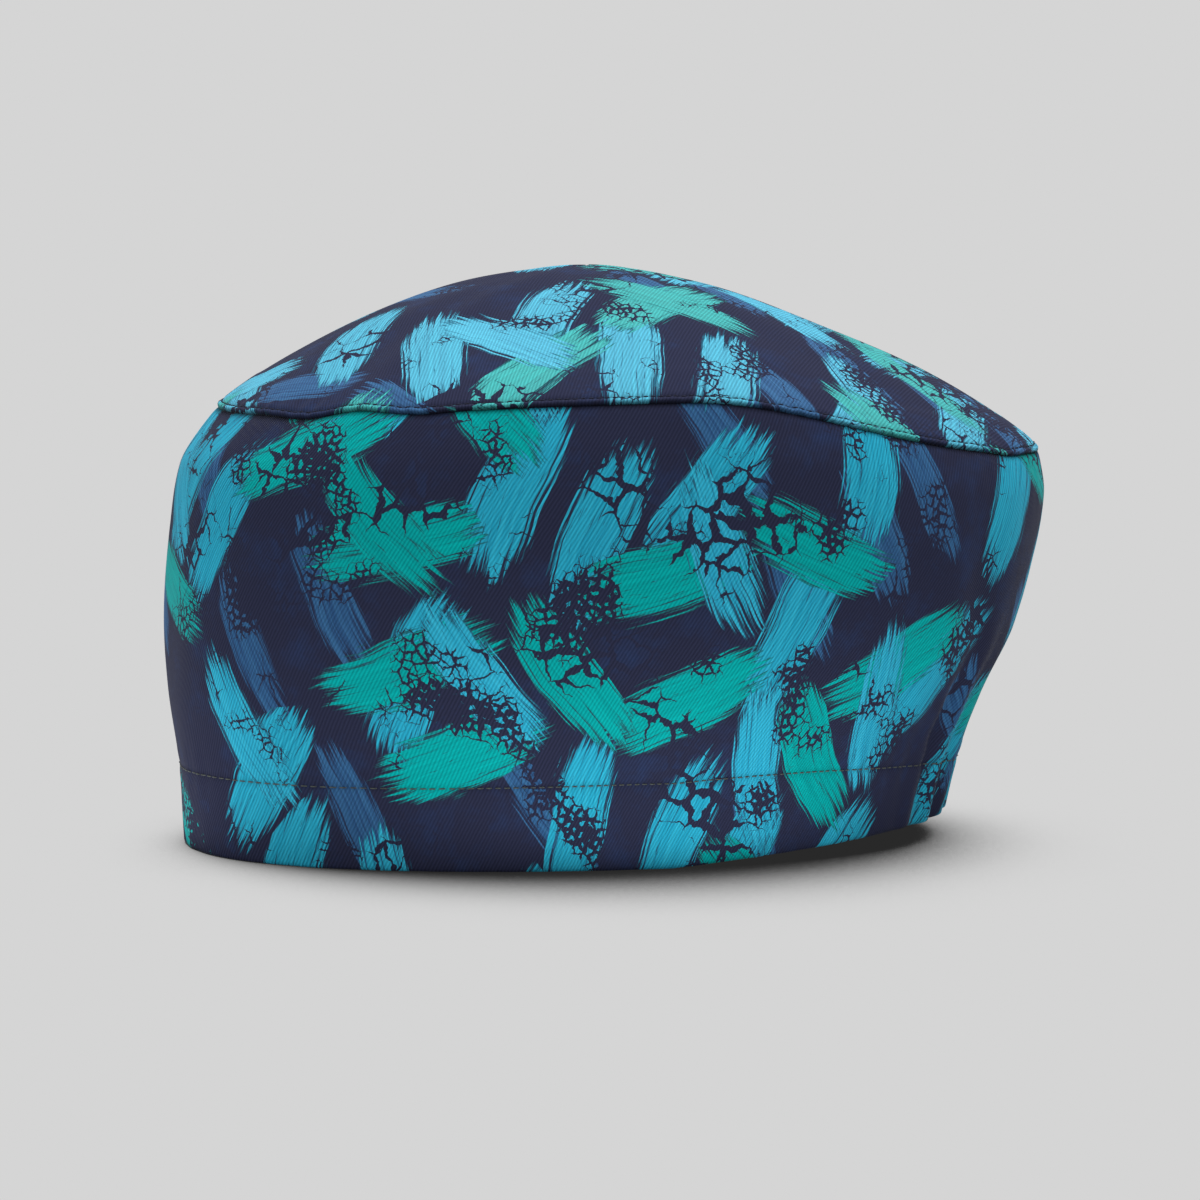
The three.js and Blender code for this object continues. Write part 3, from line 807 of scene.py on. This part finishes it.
@dataclass(frozen=True)
class SpunThread:
    """Spun polyester sewing thread, two plies twisted.

    Small round stitches with fine slanting plies, a little glossier than the cloth.
    """

    name: str
    colour: str
    ply_pitch: float = 0.45
    relief_mm: float = 0.08

    def material(self) -> bpy.types.Material:
        """The thread's material."""

        def dress(tree: Tree) -> bpy.types.Node:
            """Twist the plies."""
            place = add_node(tree, "TexCoord").outputs["Object"]
            plies = add_node(tree, "TexWave",
                             {"Vector": place, "Scale": math.pi / (10 * self.ply_pitch * MILLIMETRE),
                              "Distortion": 0.4}, wave_type="BANDS", bands_direction="DIAGONAL")
            # the plies also darken and lighten the thread's colour: painted shade between them, painted
            # highlight on them
            tone = add_node(tree, "MapRange", {"Value": plies.outputs["Fac"], "To Min": 0.7, "To Max": 1.25})
            ply_shaded_colour = add_node(tree, "VectorMath", {0: linear(self.colour)[:3], "Scale": tone},
                             operation="SCALE")
            bump = add_node(tree, "Bump", {"Height": plies.outputs["Fac"], "Strength": 0.4,
                                           "Distance": self.relief_mm * MILLIMETRE})
            return add_node(tree, "BsdfPrincipled",
                            {"Base Color": ply_shaded_colour, "Normal": bump, "Roughness": 0.6,
                             "Specular IOR Level": 0.15, "Sheen Weight": 0.02})

        return new_material(self.name, dress)


@dataclass(frozen=True)
class WovenElastic:
    """Flat woven elastic: white polyester over rubber, with fine lengthwise ribs."""

    rib_pitch: float = 1.0
    relief_mm: float = 0.2

    def material(self) -> bpy.types.Material:
        """The elastic's material."""

        def dress(tree: Tree) -> bpy.types.Node:
            """Weave the ribs."""
            place = add_node(tree, "TexCoord").outputs["Object"]
            ribs = add_node(tree, "TexWave",
                            {"Vector": place, "Scale": math.pi / (10 * self.rib_pitch * MILLIMETRE),
                             "Distortion": 0.3}, wave_type="BANDS", bands_direction="Z").outputs["Fac"]
            # the ribs also shade the colour from grey to white: painted shade in their hollows, painted
            # highlight on them
            tone = add_node(tree, "Mix", {0: ribs, 6: linear("cfccc4"), 7: linear("f0eee8")},
                            data_type="RGBA")
            bump = add_node(tree, "Bump", {"Height": ribs, "Strength": 0.5,
                                           "Distance": self.relief_mm * MILLIMETRE})
            return add_node(tree, "BsdfPrincipled",
                            {"Base Color": tone.outputs[2], "Normal": bump, "Roughness": 0.7,
                             "Sheen Weight": 0.1})

        return new_material("woven_elastic", dress)


# The cap's sub-assemblies


@dataclass
class SideBand:
    """The tall band with its turned-up hem: one cloth from the seam down, round the fold and up inside."""

    form: CapForm
    cloth: float = 0.8
    fold: float = 1.2  # radius of the hem's fold
    fold_squareness: float = 0.6
    channel_plain: float = 0.5
    channel_elastic: float = 1.8
    drawn_close: Pair = (0.85, 1.6)  # how much the stitches close the channel, and over what half width
    facing_above: float = 1.5
    turned_edge: float = 0.6  # radius of the facing's turned edge
    columns: int = 500
    column_power: float = 0.55

    def angles(self) -> Array:
        """Angles of the columns from the centre back round to it, closer together in the gathers."""
        even = np.linspace(-1, 1, self.columns + 1)[:-1]
        inwards = 1 - np.abs(even)
        eased = np.sign(even) * (1 - inwards * (self.column_power + (1 - self.column_power) * inwards))
        return eased * 180

    def facing_offset(self, around: Array, height: Array) -> Array:
        """How far the facing's hidden face lies inwards, drawn close along the stitches."""
        form = self.form
        rise = form.rise(around, height)
        open_by = self.channel_plain + self.channel_elastic * form.channel(around)
        closed, half_width = self.drawn_close
        drawn = closed * bell(height - form.stitches(around), half_width)
        mirrored = form.gathers(around, height) + form.fold_depth(around, rise)
        return self.cloth + open_by * (1 - drawn) + mirrored - form.hem_edge_waves(around, rise)

    def facing_face(self, around: Array, height: Array) -> Array:
        """How far outwards the facing's seen face lies: thicker over its turned edge, dented by stitches."""
        stitches = self.form.stitches(around)
        thick = self.cloth * (1 + 0.6 * smoothstep((height - stitches - self.facing_above + 6) / 1.5))
        dent = 0.3 * bell(height - stitches, 0.8)
        return -self.facing_offset(around, height) - thick + dent

    def build(self, materials: Materials) -> bpy.types.Object:
        """Build the band.

        Args:
            materials: The right side's and the wrong side's material.

        Returns:
            The band as one closed cloth.
        """
        form, around = self.form, self.angles()
        seam, stitches, edge = form.seam(around), form.stitches(around), form.edge(around)
        foot, top = edge + self.fold, stitches + self.facing_above
        cuff = top - self.turned_edge
        rows: list[tuple[Array, Array]] = []
        sides: list[int] = []
        travel: list[Array] = []

        def add(height: Array, outwards: Array, flat: Array, side: Side) -> None:
            """Add one row: its heights, its distance outwards and its place down the flat cloth."""
            rows.append((height, outwards))
            travel.append(flat)
            sides.append(side.value)

        def add_face(low: Array, high: Array, shares: Array, depth: float, side: Side) -> None:
            """Add rows of the outer cloth from share to share between two heights, at a depth in it."""
            for share in shares:
                height = low + (high - low) * share
                add(height, form.band_relief(around, height) - depth, height, side)

        bottom_out = form.band_relief(around, foot)
        bottom_in = -self.facing_offset(around, foot) - self.cloth
        middle, half = (bottom_out + bottom_in) / 2, (bottom_out - bottom_in) / 2
        for turn in np.radians(np.arange(-75, 0, 15)):
            height = edge + self.fold * (1 + np.sin(turn))
            add(height, middle + half * np.cos(turn) ** self.fold_squareness, height, Side.RIGHT)
        add_face(foot, stitches, np.linspace(0, 1, 26), 0, Side.RIGHT)
        up_wall = np.concatenate([np.linspace(0, 0.9, 58)[1:], np.linspace(0.9, 1, 16)[1:]])
        add_face(stitches, seam, up_wall, 0, Side.RIGHT)
        add(seam + 0.5, np.full_like(around, -1.2), seam + 1.0, Side.RIGHT)
        add(seam + 0.5, np.full_like(around, -2.0), seam + 1.8, Side.WRONG)
        add_face(stitches, seam - 1.5, np.linspace(1, 0, 40)[1:], self.cloth, Side.WRONG)
        add_face(foot, stitches, np.linspace(1, 0, 8)[1:], self.cloth, Side.WRONG)
        for share in np.linspace(0, 1, 8):
            height = foot + (cuff - foot) * share
            add(height, -self.facing_offset(around, height), -height, Side.WRONG)
        hidden = -self.facing_offset(around, top)
        shown = hidden - 1.7 * self.cloth
        for turn in np.radians((150, 90, 30)):
            outwards = (hidden + shown) / 2 - (hidden - shown) / 2 * np.cos(turn)
            add(cuff + self.turned_edge * np.sin(turn), outwards, -top - 0.5, Side.RIGHT)
        for share in np.linspace(1, 0, 26):
            height = foot + (cuff - foot) * share
            add(height, self.facing_face(around, height), -height, Side.RIGHT)
        for turn in np.radians(np.arange(15, 91, 15)):
            height = edge + self.fold * (1 - np.sin(turn))
            add(height, middle - half * np.cos(turn) ** self.fold_squareness, -height, Side.RIGHT)

        points = np.stack([form.band_point(around, height, outwards) for height, outwards in rows])
        along = travelled_round(form.outline(around, form.reach(np.full_like(around, 0.6))))
        along -= np.interp(0, np.append(around, 180), along)
        flat = np.stack(travel + [travel[0]])
        flat = np.concatenate([flat, flat[:, :1]], 1)
        cloth_map = np.stack([np.broadcast_to(along, flat.shape), flat], -1)
        heights = np.stack([height for height, _ in rows])
        outside = np.array(sides)[:, None] == Side.RIGHT.value
        below_seam = np.maximum(seam - heights, 0)
        # painted shade below the seam and along the hem's stitches, on the outside only
        painted_seam_shade = (bell(below_seam, 0.9) + 0.25 * bell(heights - stitches, 0.7)) * outside
        # the seam draws the cloth in everywhere a little, and more in three places
        drawn_in = 0.2 + sum(depth * bell(around - centre, half_width) for depth, centre, half_width in
                             ((0.8, 19, 12), (0.5, -70, 25), (0.4, 165, 20)))
        puckered = np.clip(drawn_in, 0, 1) * np.exp(-below_seam / 2.2) * outside
        return grid_object("band_cloth", points, cloth_map, sides, materials,
                           {PAINTED_SEAM_SHADE: np.clip(painted_seam_shade, 0, 1), PUCKERED: puckered})


@dataclass
class Crown:
    """The domed top: one cloth with its edge turned in, and the seam allowance pressed up inside it."""

    form: CapForm
    cloth: float = 0.8
    columns: int = 720
    stitch_distance: float = 1.32
    cut_angle: float = -5.0
    top_reach: float = 0.995  # how near the top the last row comes, as a share of the slope
    # distances up from the rim of the rows that shape the welt and the cloth over the seam allowance
    near: tuple[float, ...] = (0, 0.1, 0.22, 0.36, 0.5, 0.66, 0.84, 1.0, 1.16, 1.32, 1.48, 1.66, 1.9, 2.2,
                               2.6, 3.2, 4, 5, 6.2, 7.4, 8.6, 9.6, 10.4, 11.8, 13.5, 15.5)
    # the allowance's section: distance up from the rim, and outwards from the crown's smooth face
    allowance_section: tuple[Pair, ...] = ((0.8, -0.95), (4.0, -0.95), (8.4, -0.95), (9.0, -1.5), (8.4, -2.0),
                                           (4.0, -2.1), (1.2, -2.2), (0.7, -1.6))
    allowance_waves: WaveTrain = WaveTrain(0.25, 9.0, (61, 84, 111), 21)
    far_rows: int = 45
    inner_rows: int = 36

    def angles(self) -> Array:
        """Evenly spaced angles from the centre back round to it."""
        return np.linspace(-180, 180, self.columns + 1)[:-1]

    def build(self, materials: Materials) -> bpy.types.Object:
        """Build the crown's cloth.

        Args:
            materials: The right side's and the wrong side's material.

        Returns:
            The crown as one closed cloth.
        """
        form, around = self.form, self.angles()
        last = form.slope_length(around) * self.top_reach
        outer_distances = [np.full_like(around, distance) for distance in self.near]
        outer_distances += [self.near[-1] + (last - self.near[-1]) * share
                            for share in np.linspace(0, 1, self.far_rows + 1)[1:]]
        outer = [form.crown_layer(around, distance, form.crown_relief(around, distance))
                 for distance in outer_distances]
        inner = []
        for share in np.linspace(1, 0, self.inner_rows):
            distance = 0.6 + (last - 0.6) * share
            relief = form.crown_relief(around, np.maximum(distance, 3)) * smoothstep(distance / 14)
            inner.append(form.crown_layer(around, distance, relief - self.cloth))
        points = np.stack(outer + inner)
        sides = [Side.RIGHT.value] * (len(outer) - 1) + [Side.WRONG.value] * (len(inner) + 1)

        # the flat cloth: each point at its travelled distance from the top, in its own direction
        steps = np.linalg.norm(np.diff(points[: len(outer)][::-1], axis=0), axis=-1)
        travelled = np.concatenate([np.zeros((1, len(around))), np.cumsum(steps, 0)])[::-1]
        back = np.interp(np.linspace(1, 0, len(inner)), np.linspace(0, 1, len(outer)), np.arange(len(outer)))
        travelled = np.concatenate([travelled, travelled[np.round(back).astype(int)]])
        plan = points[..., :2] - np.array([-form.top_forward, 0.0])
        reach = np.maximum(np.linalg.norm(plan, axis=-1, keepdims=True), 1e-6)
        lie = math.radians(self.cut_angle)
        turned = np.array([[math.cos(lie), math.sin(lie)], [-math.sin(lie), math.cos(lie)]])
        flat = (plan / reach * travelled[..., None]) @ turned + 400
        flat = np.concatenate([flat, flat[:1]])
        flat = np.concatenate([flat, flat[:, :1]], 1)

        distances = np.concatenate([self.near, np.full(len(points) - len(self.near), 99.0)])
        # painted shade at the rim's seam and along the topstitching
        painted_seam_shade = 0.9 * bell(distances, 0.3) + 0.5 * bell(distances - self.stitch_distance, 0.3)
        painted_seam_shade = np.broadcast_to(np.clip(painted_seam_shade, 0, 1)[:, None], points.shape[:2])
        return grid_object("crown_cloth", points, flat, sides, materials, {PAINTED_SEAM_SHADE: painted_seam_shade})

    def allowance(self, materials: Materials) -> bpy.types.Object:
        """Build the two raw edges of the seam, pressed up against the crown's inside.

        Args:
            materials: The wrong side's material.

        Returns:
            The seam allowance as one closed strip.
        """
        form, around = self.form, self.angles()[::2]
        waves = self.allowance_waves.at(around)
        rows = []
        for distance, outwards in self.allowance_section:
            free = 0.6 * smoothstep(np.array(distance / self.allowance_waves.reach)) * (outwards < -1)
            rows.append(form.crown_layer(around, np.full_like(around, distance), outwards + waves * free))
        points = np.stack(rows)
        down = np.array([0, 3, 7.6, 8.5, 9.3, 13.5, 16.5, 17.3, 18.0])
        flat = np.stack(np.broadcast_arrays(travelled_round(points[0])[None, :], down[:, None]), -1) + 150
        return grid_object("seam_allowance", points, flat, [0] * len(rows), materials,
                           {PAINTED_SEAM_SHADE: np.zeros(points.shape[:2])})


@dataclass
class Stitching:
    """Lines of sewing thread: lockstitches, and an overlock's zigzag. Millimetres."""

    pitch: float = 2.4
    stitch_length: float = 1.95
    thread: float = 0.34
    facets: int = 6
    ends: tuple[float, ...] = (0.55, 0.9, 1, 1, 1, 0.9, 0.55)  # a stitch's thickness from end to end
    overlock_steps: int = 12  # points of one zigzag
    overlock_facets: int = 5
    overlock_thread: float = 0.272

    def rings(self, core: Array, raised: Array, ahead: Array, facets: int, oval: float) -> Array:
        """The directions from a thread's middle to its skin.

        Args:
            core: The thread's middle.
            raised: The same points a little off the cloth.
            ahead: The thread's direction.
            facets: How many faces go round the thread.
            oval: How tall the thread is as a share of how broad it is.

        Returns:
            One direction a facet for each point of the thread.
        """
        above = unit(raised - core)
        beside = unit(np.cross(unit(ahead), above))
        wind = np.linspace(0, 2 * np.pi, facets, endpoint=False)[:, None]
        return above[..., None, :] * np.cos(wind) * oval + beside[..., None, :] * np.sin(wind)

    def build(self, name: str, place: Callable[[Array, Array], Array], length: float,
              material: bpy.types.Material, seed: int) -> bpy.types.Object:
        """Lay stitches along a closed line.

        Args:
            name: The object's name.
            place: Gives a point from an angle in degrees and a height above the cloth.
            length: The line's length round the cap.
            material: The thread's material.
            seed: Fixes each stitch's small differences.

        Returns:
            All the stitches as one object.
        """
        chance = np.random.default_rng(seed)
        count, stations, facets = round(length / self.pitch), len(self.ends), self.facets
        centre = np.linspace(-180, 180, count, endpoint=False) + chance.uniform(-0.06, 0.06, count)
        half = 180 / count * self.stitch_length / self.pitch * chance.uniform(0.92, 1.05, count)
        along = np.linspace(-1, 1, stations)
        lift = 0.16 * (1 - along**4) - 0.3 * along**8
        turns = centre[:, None] + half[:, None] * along
        rise = np.broadcast_to(lift, turns.shape) + chance.uniform(-0.03, 0.03, (count, 1))
        core = place(turns, rise)
        ring = self.rings(core, place(turns, rise + 0.2), np.gradient(core, axis=1), facets, 0.85)
        radius = self.thread / 2 * np.array(self.ends)
        points = core[:, :, None] + ring * radius[:, None, None]
        base = np.arange(count)[:, None, None] * stations * facets
        station = base + np.arange(stations - 1)[None, :, None] * facets
        side, beyond = np.arange(facets), (np.arange(facets) + 1) % facets
        quads = np.stack([station + side, station + beyond, station + facets + beyond,
                          station + facets + side], -1)
        first = np.array([[3, 2, 1, 0], [5, 4, 3, 0]])
        last = (stations - 1) * facets + np.array([[0, 1, 2, 3], [0, 3, 4, 5]])
        caps = base + np.concatenate([first, last])[None]
        every = np.concatenate([quads.reshape(-1, 4), caps.reshape(-1, 4)])
        return quad_object(name, points.reshape(-1, 3), every, [material])

    def overlock(self, name: str, place: Callable[[Array, Array, Array], Array], count: int,
                 material: bpy.types.Material) -> bpy.types.Object:
        """Lay one zigzag thread that wraps a raw edge.

        Args:
            name: The object's name.
            place: Gives a point from an angle, a share across the edge's stitches and a lift off the cloth.
            count: How many zigzags go round the cap.
            material: The thread's material.

        Returns:
            The thread as one closed tube.
        """
        total, facets = count * self.overlock_steps, self.overlock_facets
        turns = np.linspace(-180, 180, total, endpoint=False)
        phase = np.arange(total) / self.overlock_steps * 2 * np.pi
        across = 0.5 + 0.5 * np.clip(1.25 * np.sin(phase), -1, 1)
        lift = 0.12 + 0.05 * np.cos(phase)
        core = place(turns, across, lift)
        ahead = np.roll(core, -1, 0) - np.roll(core, 1, 0)
        ring = self.rings(core, place(turns, across, lift + 0.2), ahead, facets, 1.0)
        points = core[:, None] + self.overlock_thread / 2 * ring
        start = np.arange(total)[:, None] * facets
        after = (np.arange(total)[:, None] + 1) % total * facets
        side, beyond = np.arange(facets), (np.arange(facets) + 1) % facets
        quads = np.stack([start + side, start + beyond, after + beyond, after + side], -1)
        return quad_object(name, points.reshape(-1, 3), quads.reshape(-1, 4), [material])


# The studio


@dataclass(frozen=True)
class Studio:
    """A plain pale floor, soft light from above and the camera at the photograph's angle."""

    backdrop: float = 0.665
    surround: float = 0.56
    surround_lean: float = 0.9
    brightest: Triple = (0.45, -0.8, 0.4)  # towards the camera, to its right, and up
    sun_strength: float = 2.8
    sun_size: float = 45.0
    sun_elevation: float = 70.0
    sun_side: float = -108.0
    shadow_reach: float = 320.0
    shadow_lean: Triple = (-0.25, 0.5, 0.22)  # along the cap at its front and at its back, and across it
    shadow_span: float = 120.0
    shadow_shares: Pair = (0.36, 0.775)  # how much open sky leaves the floor darkest and lightest
    shadow_dark: float = 0.022
    table_grey: float = 0.3
    bounce_radiance: float = 1.5
    bounce_reach: float = 75.0
    bounce_inside: Pair = (112.0, 74.0)
    camera_around: float = -14.0
    camera_elevation: float = 5.2
    camera_distance: float = 1300.0
    lens: float = 152.9
    pixel: float = 0.255
    aim_pixels: Pair = (-5.9, -40.0)
    aim_height: float = 70.0
    floor_half_size: float = 12.0  # metres, as are the next two
    table_half_size: float = 6.0
    backdrop_half_size: float = 10.0

    def axes(self) -> tuple[Vector, Vector, Vector]:
        """The camera's right, up and backward directions."""
        turn, rise = math.radians(self.camera_around), math.radians(self.camera_elevation)
        back = Vector((math.sin(turn) * math.cos(rise), -math.cos(turn) * math.cos(rise), math.sin(rise)))
        right = Vector((math.cos(turn), math.sin(turn), 0))
        return right, back.cross(right), back

    def camera(self) -> None:
        """Set the camera."""
        right, up, back = self.axes()
        target = Vector((0, 0, self.aim_height))
        shift = (right * self.aim_pixels[0] + up * self.aim_pixels[1]) * self.pixel
        place = (target + back * self.camera_distance + shift) * MILLIMETRE
        data = bpy.data.cameras.new("studio_camera")
        data.lens, data.sensor_width, data.clip_end = self.lens, 36, 20
        camera = add_object("studio_camera", data)
        camera.matrix_world = Matrix.Translation(place) @ Matrix((right, up, back)).transposed().to_4x4()
        bpy.context.scene.camera = camera

    def surroundings(self) -> None:
        """Light the cap evenly from all sides, more from the brightest one."""
        right, _, back = self.axes()
        level = Vector((back.x, back.y, 0)).normalized()
        near, aside, high = self.brightest
        brightest = (level * near + right * aside + Vector((0, 0, high))).normalized()
        world = bpy.data.worlds.new("studio")
        bpy.context.scene.world = world
        world.use_nodes = True
        tree = world.node_tree
        tree.nodes.clear()
        direction = add_node(tree, "TexCoord")
        lean = add_node(tree, "VectorMath", {0: direction.outputs["Generated"], 1: tuple(brightest)},
                        operation="DOT_PRODUCT")
        strength = add_node(tree, "MapRange",
                            {"Value": lean.outputs["Value"], "From Min": -1.0, "From Max": 1.0,
                             "To Min": self.surround * (1 - self.surround_lean),
                             "To Max": self.surround * (1 + self.surround_lean)})
        surround = add_node(tree, "Background", {"Color": (1.0, 1.0, 1.0, 1.0), "Strength": strength})
        add_node(tree, "OutputWorld", {"Surface": surround})

    def light(self) -> None:
        """Set the surroundings, the wide soft light and the light that the table throws back."""
        scene = bpy.context.scene
        scene.view_settings.view_transform = "Standard"
        scene.view_settings.look = "None"
        self.surroundings()
        right, _, back = self.axes()
        level = Vector((back.x, back.y, 0)).normalized()
        lamp = bpy.data.lights.new("soft_light", "SUN")
        lamp.energy = self.sun_strength
        lamp.angle = math.radians(self.sun_size)
        side, high = math.radians(self.sun_side), math.radians(self.sun_elevation)
        aside = level * math.cos(side) - right * math.sin(side)
        towards = aside * math.cos(high) + Vector((0, 0, math.sin(high)))
        add_object("soft_light", lamp).rotation_euler = towards.to_track_quat("Z", "Y").to_euler()

        reach, (long_half, wide_half) = self.bounce_reach, self.bounce_inside
        strips = ((0, -1, 2 * long_half, reach, 1.0), (0, 1, 2 * long_half, reach, 1.0),
                  (-1, 0, reach, 2 * wide_half, 1.0), (1, 0, reach, 2 * wide_half, 0.3))
        for along, across, length, width, share in strips:
            panel = bpy.data.lights.new("table_bounce", "AREA")
            panel.shape = "RECTANGLE"
            panel.size, panel.size_y = length * MILLIMETRE, width * MILLIMETRE
            panel.energy = self.bounce_radiance * share * math.pi * panel.size * panel.size_y
            bounce = add_object("table_bounce", panel)
            bounce.location = (along * (long_half + reach / 2) * MILLIMETRE,
                               across * (wide_half + reach / 2) * MILLIMETRE, 0.0004)
            bounce.rotation_euler = (math.pi, 0, 0)
            bounce.visible_camera = False

    def panels(self, name: str, half_size: float, heights: Sequence[float], faces: Sequence[tuple[int, ...]],
               material: bpy.types.Material) -> bpy.types.Object:
        """Set up flat panels between the corners of one or two squares.

        Args:
            name: The object's name.
            half_size: Half a square's side, in metres.
            heights: The height of each square, in metres.
            faces: The corners of each panel.
            material: The panels' material.

        Returns:
            The new object.
        """
        mesh = bpy.data.meshes.new(name)
        square = ((-1, -1), (1, -1), (1, 1), (-1, 1))
        mesh.from_pydata([(x * half_size, y * half_size, z) for z in heights for x, y in square], [], faces)
        mesh.materials.append(material)
        return add_object(name, mesh)

    def wall(self) -> bpy.types.Object:
        """Put up the plain backdrop, which the camera sees and which gives no light of its own."""
        grey = new_material("plain_grey_backdrop",
                            lambda tree: add_node(tree, "Emission", {"Strength": self.backdrop}))
        faces = [(0, 1, 5, 4), (1, 2, 6, 5), (2, 3, 7, 6), (3, 0, 4, 7), (4, 5, 6, 7)]
        wall = self.panels("backdrop", self.backdrop_half_size, (-0.1, 12.0), faces, grey)
        wall.visible_diffuse = wall.visible_glossy = wall.visible_shadow = False
        wall.visible_transmission = wall.visible_volume_scatter = False
        return wall

    def floor(self) -> bpy.types.Object:
        """Lay a glowing floor as bright as the backdrop, with a painted shadow close to what stands on it."""
        front, back, across = self.shadow_lean
        span = self.shadow_span * MILLIMETRE

        def dress(tree: Tree) -> bpy.types.Node:
            """Paint the floor's shadow by how much sky it sees past the cap."""
            place = add_node(tree, "SeparateXYZ", {0: add_node(tree, "NewGeometry").outputs["Position"]})
            aside = add_node(tree, "MapRange", {"Value": place, "From Min": -span, "From Max": span,
                                                "To Min": front, "To Max": back})
            leaned = add_node(tree, "CombineXYZ", {"X": aside, "Y": across, "Z": 1.0})
            towards = add_node(tree, "VectorMath", {0: leaned}, operation="NORMALIZE")
            sky = add_node(tree, "AmbientOcclusion",
                           {"Normal": towards, "Distance": self.shadow_reach * MILLIMETRE}, samples=24)
            # the painted shadow: the floor's glow fades where the cap hides the sky
            glow = add_node(tree, "MapRange",
                            {"Value": sky.outputs["AO"], "From Min": self.shadow_shares[0],
                             "From Max": self.shadow_shares[1], "To Min": self.shadow_dark,
                             "To Max": self.backdrop}, interpolation_type="SMOOTHSTEP")
            return add_node(tree, "Emission", {"Strength": glow})

        floor = self.panels("floor", self.floor_half_size, (0.0,), [(0, 1, 2, 3)],
                            new_material("lit_white_table", dress))
        floor.visible_diffuse = floor.visible_glossy = floor.visible_shadow = False
        return floor

    def table(self) -> bpy.types.Object:
        """Lay the grey table under the floor, unseen, that gives the cap its light from below."""
        colour = (self.table_grey, self.table_grey, self.table_grey, 1.0)
        matt = new_material("matt_grey_table", lambda tree: add_node(tree, "BsdfDiffuse", {"Color": colour}))
        table = self.panels("table", self.table_half_size, (-0.0005,), [(0, 1, 2, 3)], matt)
        table.visible_camera = False
        return table


@dataclass(frozen=True)
class ThreadLines:
    """Where the cap's threads lie, as functions of the angle and the lift off the cloth."""

    form: CapForm
    side_band: SideBand
    crown: Crown
    under_welt: float = 0.6  # how much further from the rim the same stitches lie inside
    allowance_face: float = -2.16
    overlock_face: float = -2.12
    overlock_from: float = 6.6
    overlock_width: float = 2.3

    def on_rim(self, around: Array, lift: Array) -> Array:
        """A point of the crown's topstitching."""
        distance = np.full_like(around, self.crown.stitch_distance)
        return self.form.crown_layer(around, distance, self.form.crown_relief(around, distance) + lift)

    def on_hem(self, around: Array, lift: Array) -> Array:
        """A point of the hem's stitching on the outside."""
        height = self.form.stitches(around)
        return self.form.band_point(around, height, self.form.band_relief(around, height) + lift)

    def under_rim(self, around: Array, lift: Array) -> Array:
        """A point of the crown's topstitching on the seam allowance inside."""
        distance = self.crown.stitch_distance + self.under_welt
        return self.form.crown_layer(around, distance, self.allowance_face - lift)

    def inside_hem(self, around: Array, lift: Array) -> Array:
        """A point of the hem's stitching on the facing."""
        height = self.form.stitches(around)
        return self.form.band_point(around, height, self.side_band.facing_face(around, height) - lift)

    def on_raw_edge(self, around: Array, across: Array, lift: Array) -> Array:
        """A point of the overlock thread on the seam allowance's raw edge."""
        distance = self.overlock_from + self.overlock_width * across
        return self.form.crown_layer(around, distance, self.overlock_face - lift + 0.5 * across**6)


def main() -> None:
    """Build the cap's pieces in order, then the studio, and report each one."""
    logging.basicConfig(level=logging.INFO, format="%(message)s")
    form = CapForm()
    twill = PrintedTwill()
    dabs = twill.dab_group()
    right_side, wrong_side = (twill.material(side, dabs) for side in (Side.RIGHT, Side.WRONG))
    navy = SpunThread("spun_thread_navy", "181a2e").material()
    olive = SpunThread("spun_thread_grey", "4a4f4c").material()

    side_band = SideBand(form)
    band = side_band.build([right_side, wrong_side])
    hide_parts("side_band", "hem_casing")
    crown = Crown(form)
    # the crown's inks get a painted sheen, as where the light from above grazes them
    crown_cloth = crown.build([PrintedTwill(painted_sheen_share=0.07).material(Side.RIGHT, dabs), wrong_side])
    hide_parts("crown")
    allowance = crown.allowance([wrong_side])

    lines, stitching = ThreadLines(form, side_band, crown), Stitching()
    rim_length, hem_length, zigzags = 640, 590, 250
    topstitching = stitching.build("crown_topstitching", lines.on_rim, rim_length, navy, 1)
    hem_stitching = stitching.build("hem_stitching", lines.on_hem, hem_length, olive, 2)
    inner_rim_stitching = stitching.build("crown_stitching_inside", lines.under_rim, rim_length, navy, 3)
    inner_hem_stitching = stitching.build("hem_stitching_inside", lines.inside_hem, hem_length, olive, 4)
    overlock = stitching.overlock("overlock_thread", lines.on_raw_edge, zigzags, navy)

    threads = (topstitching, inner_rim_stitching, overlock, hem_stitching, inner_hem_stitching)
    for piece in (band, crown_cloth, allowance, *threads):
        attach(piece, "root")
        log.info("%s: %d faces", piece.name, len(piece.data.polygons))
    elastic = bpy.data.objects.get("back_elastic")
    elastic.data.materials.clear()
    elastic.data.materials.append(WovenElastic().material())

    studio = Studio()
    studio.light()
    studio.camera()
    for stage in (studio.floor(), studio.table(), studio.wall()):
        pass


if __name__ == "__main__":
    main()
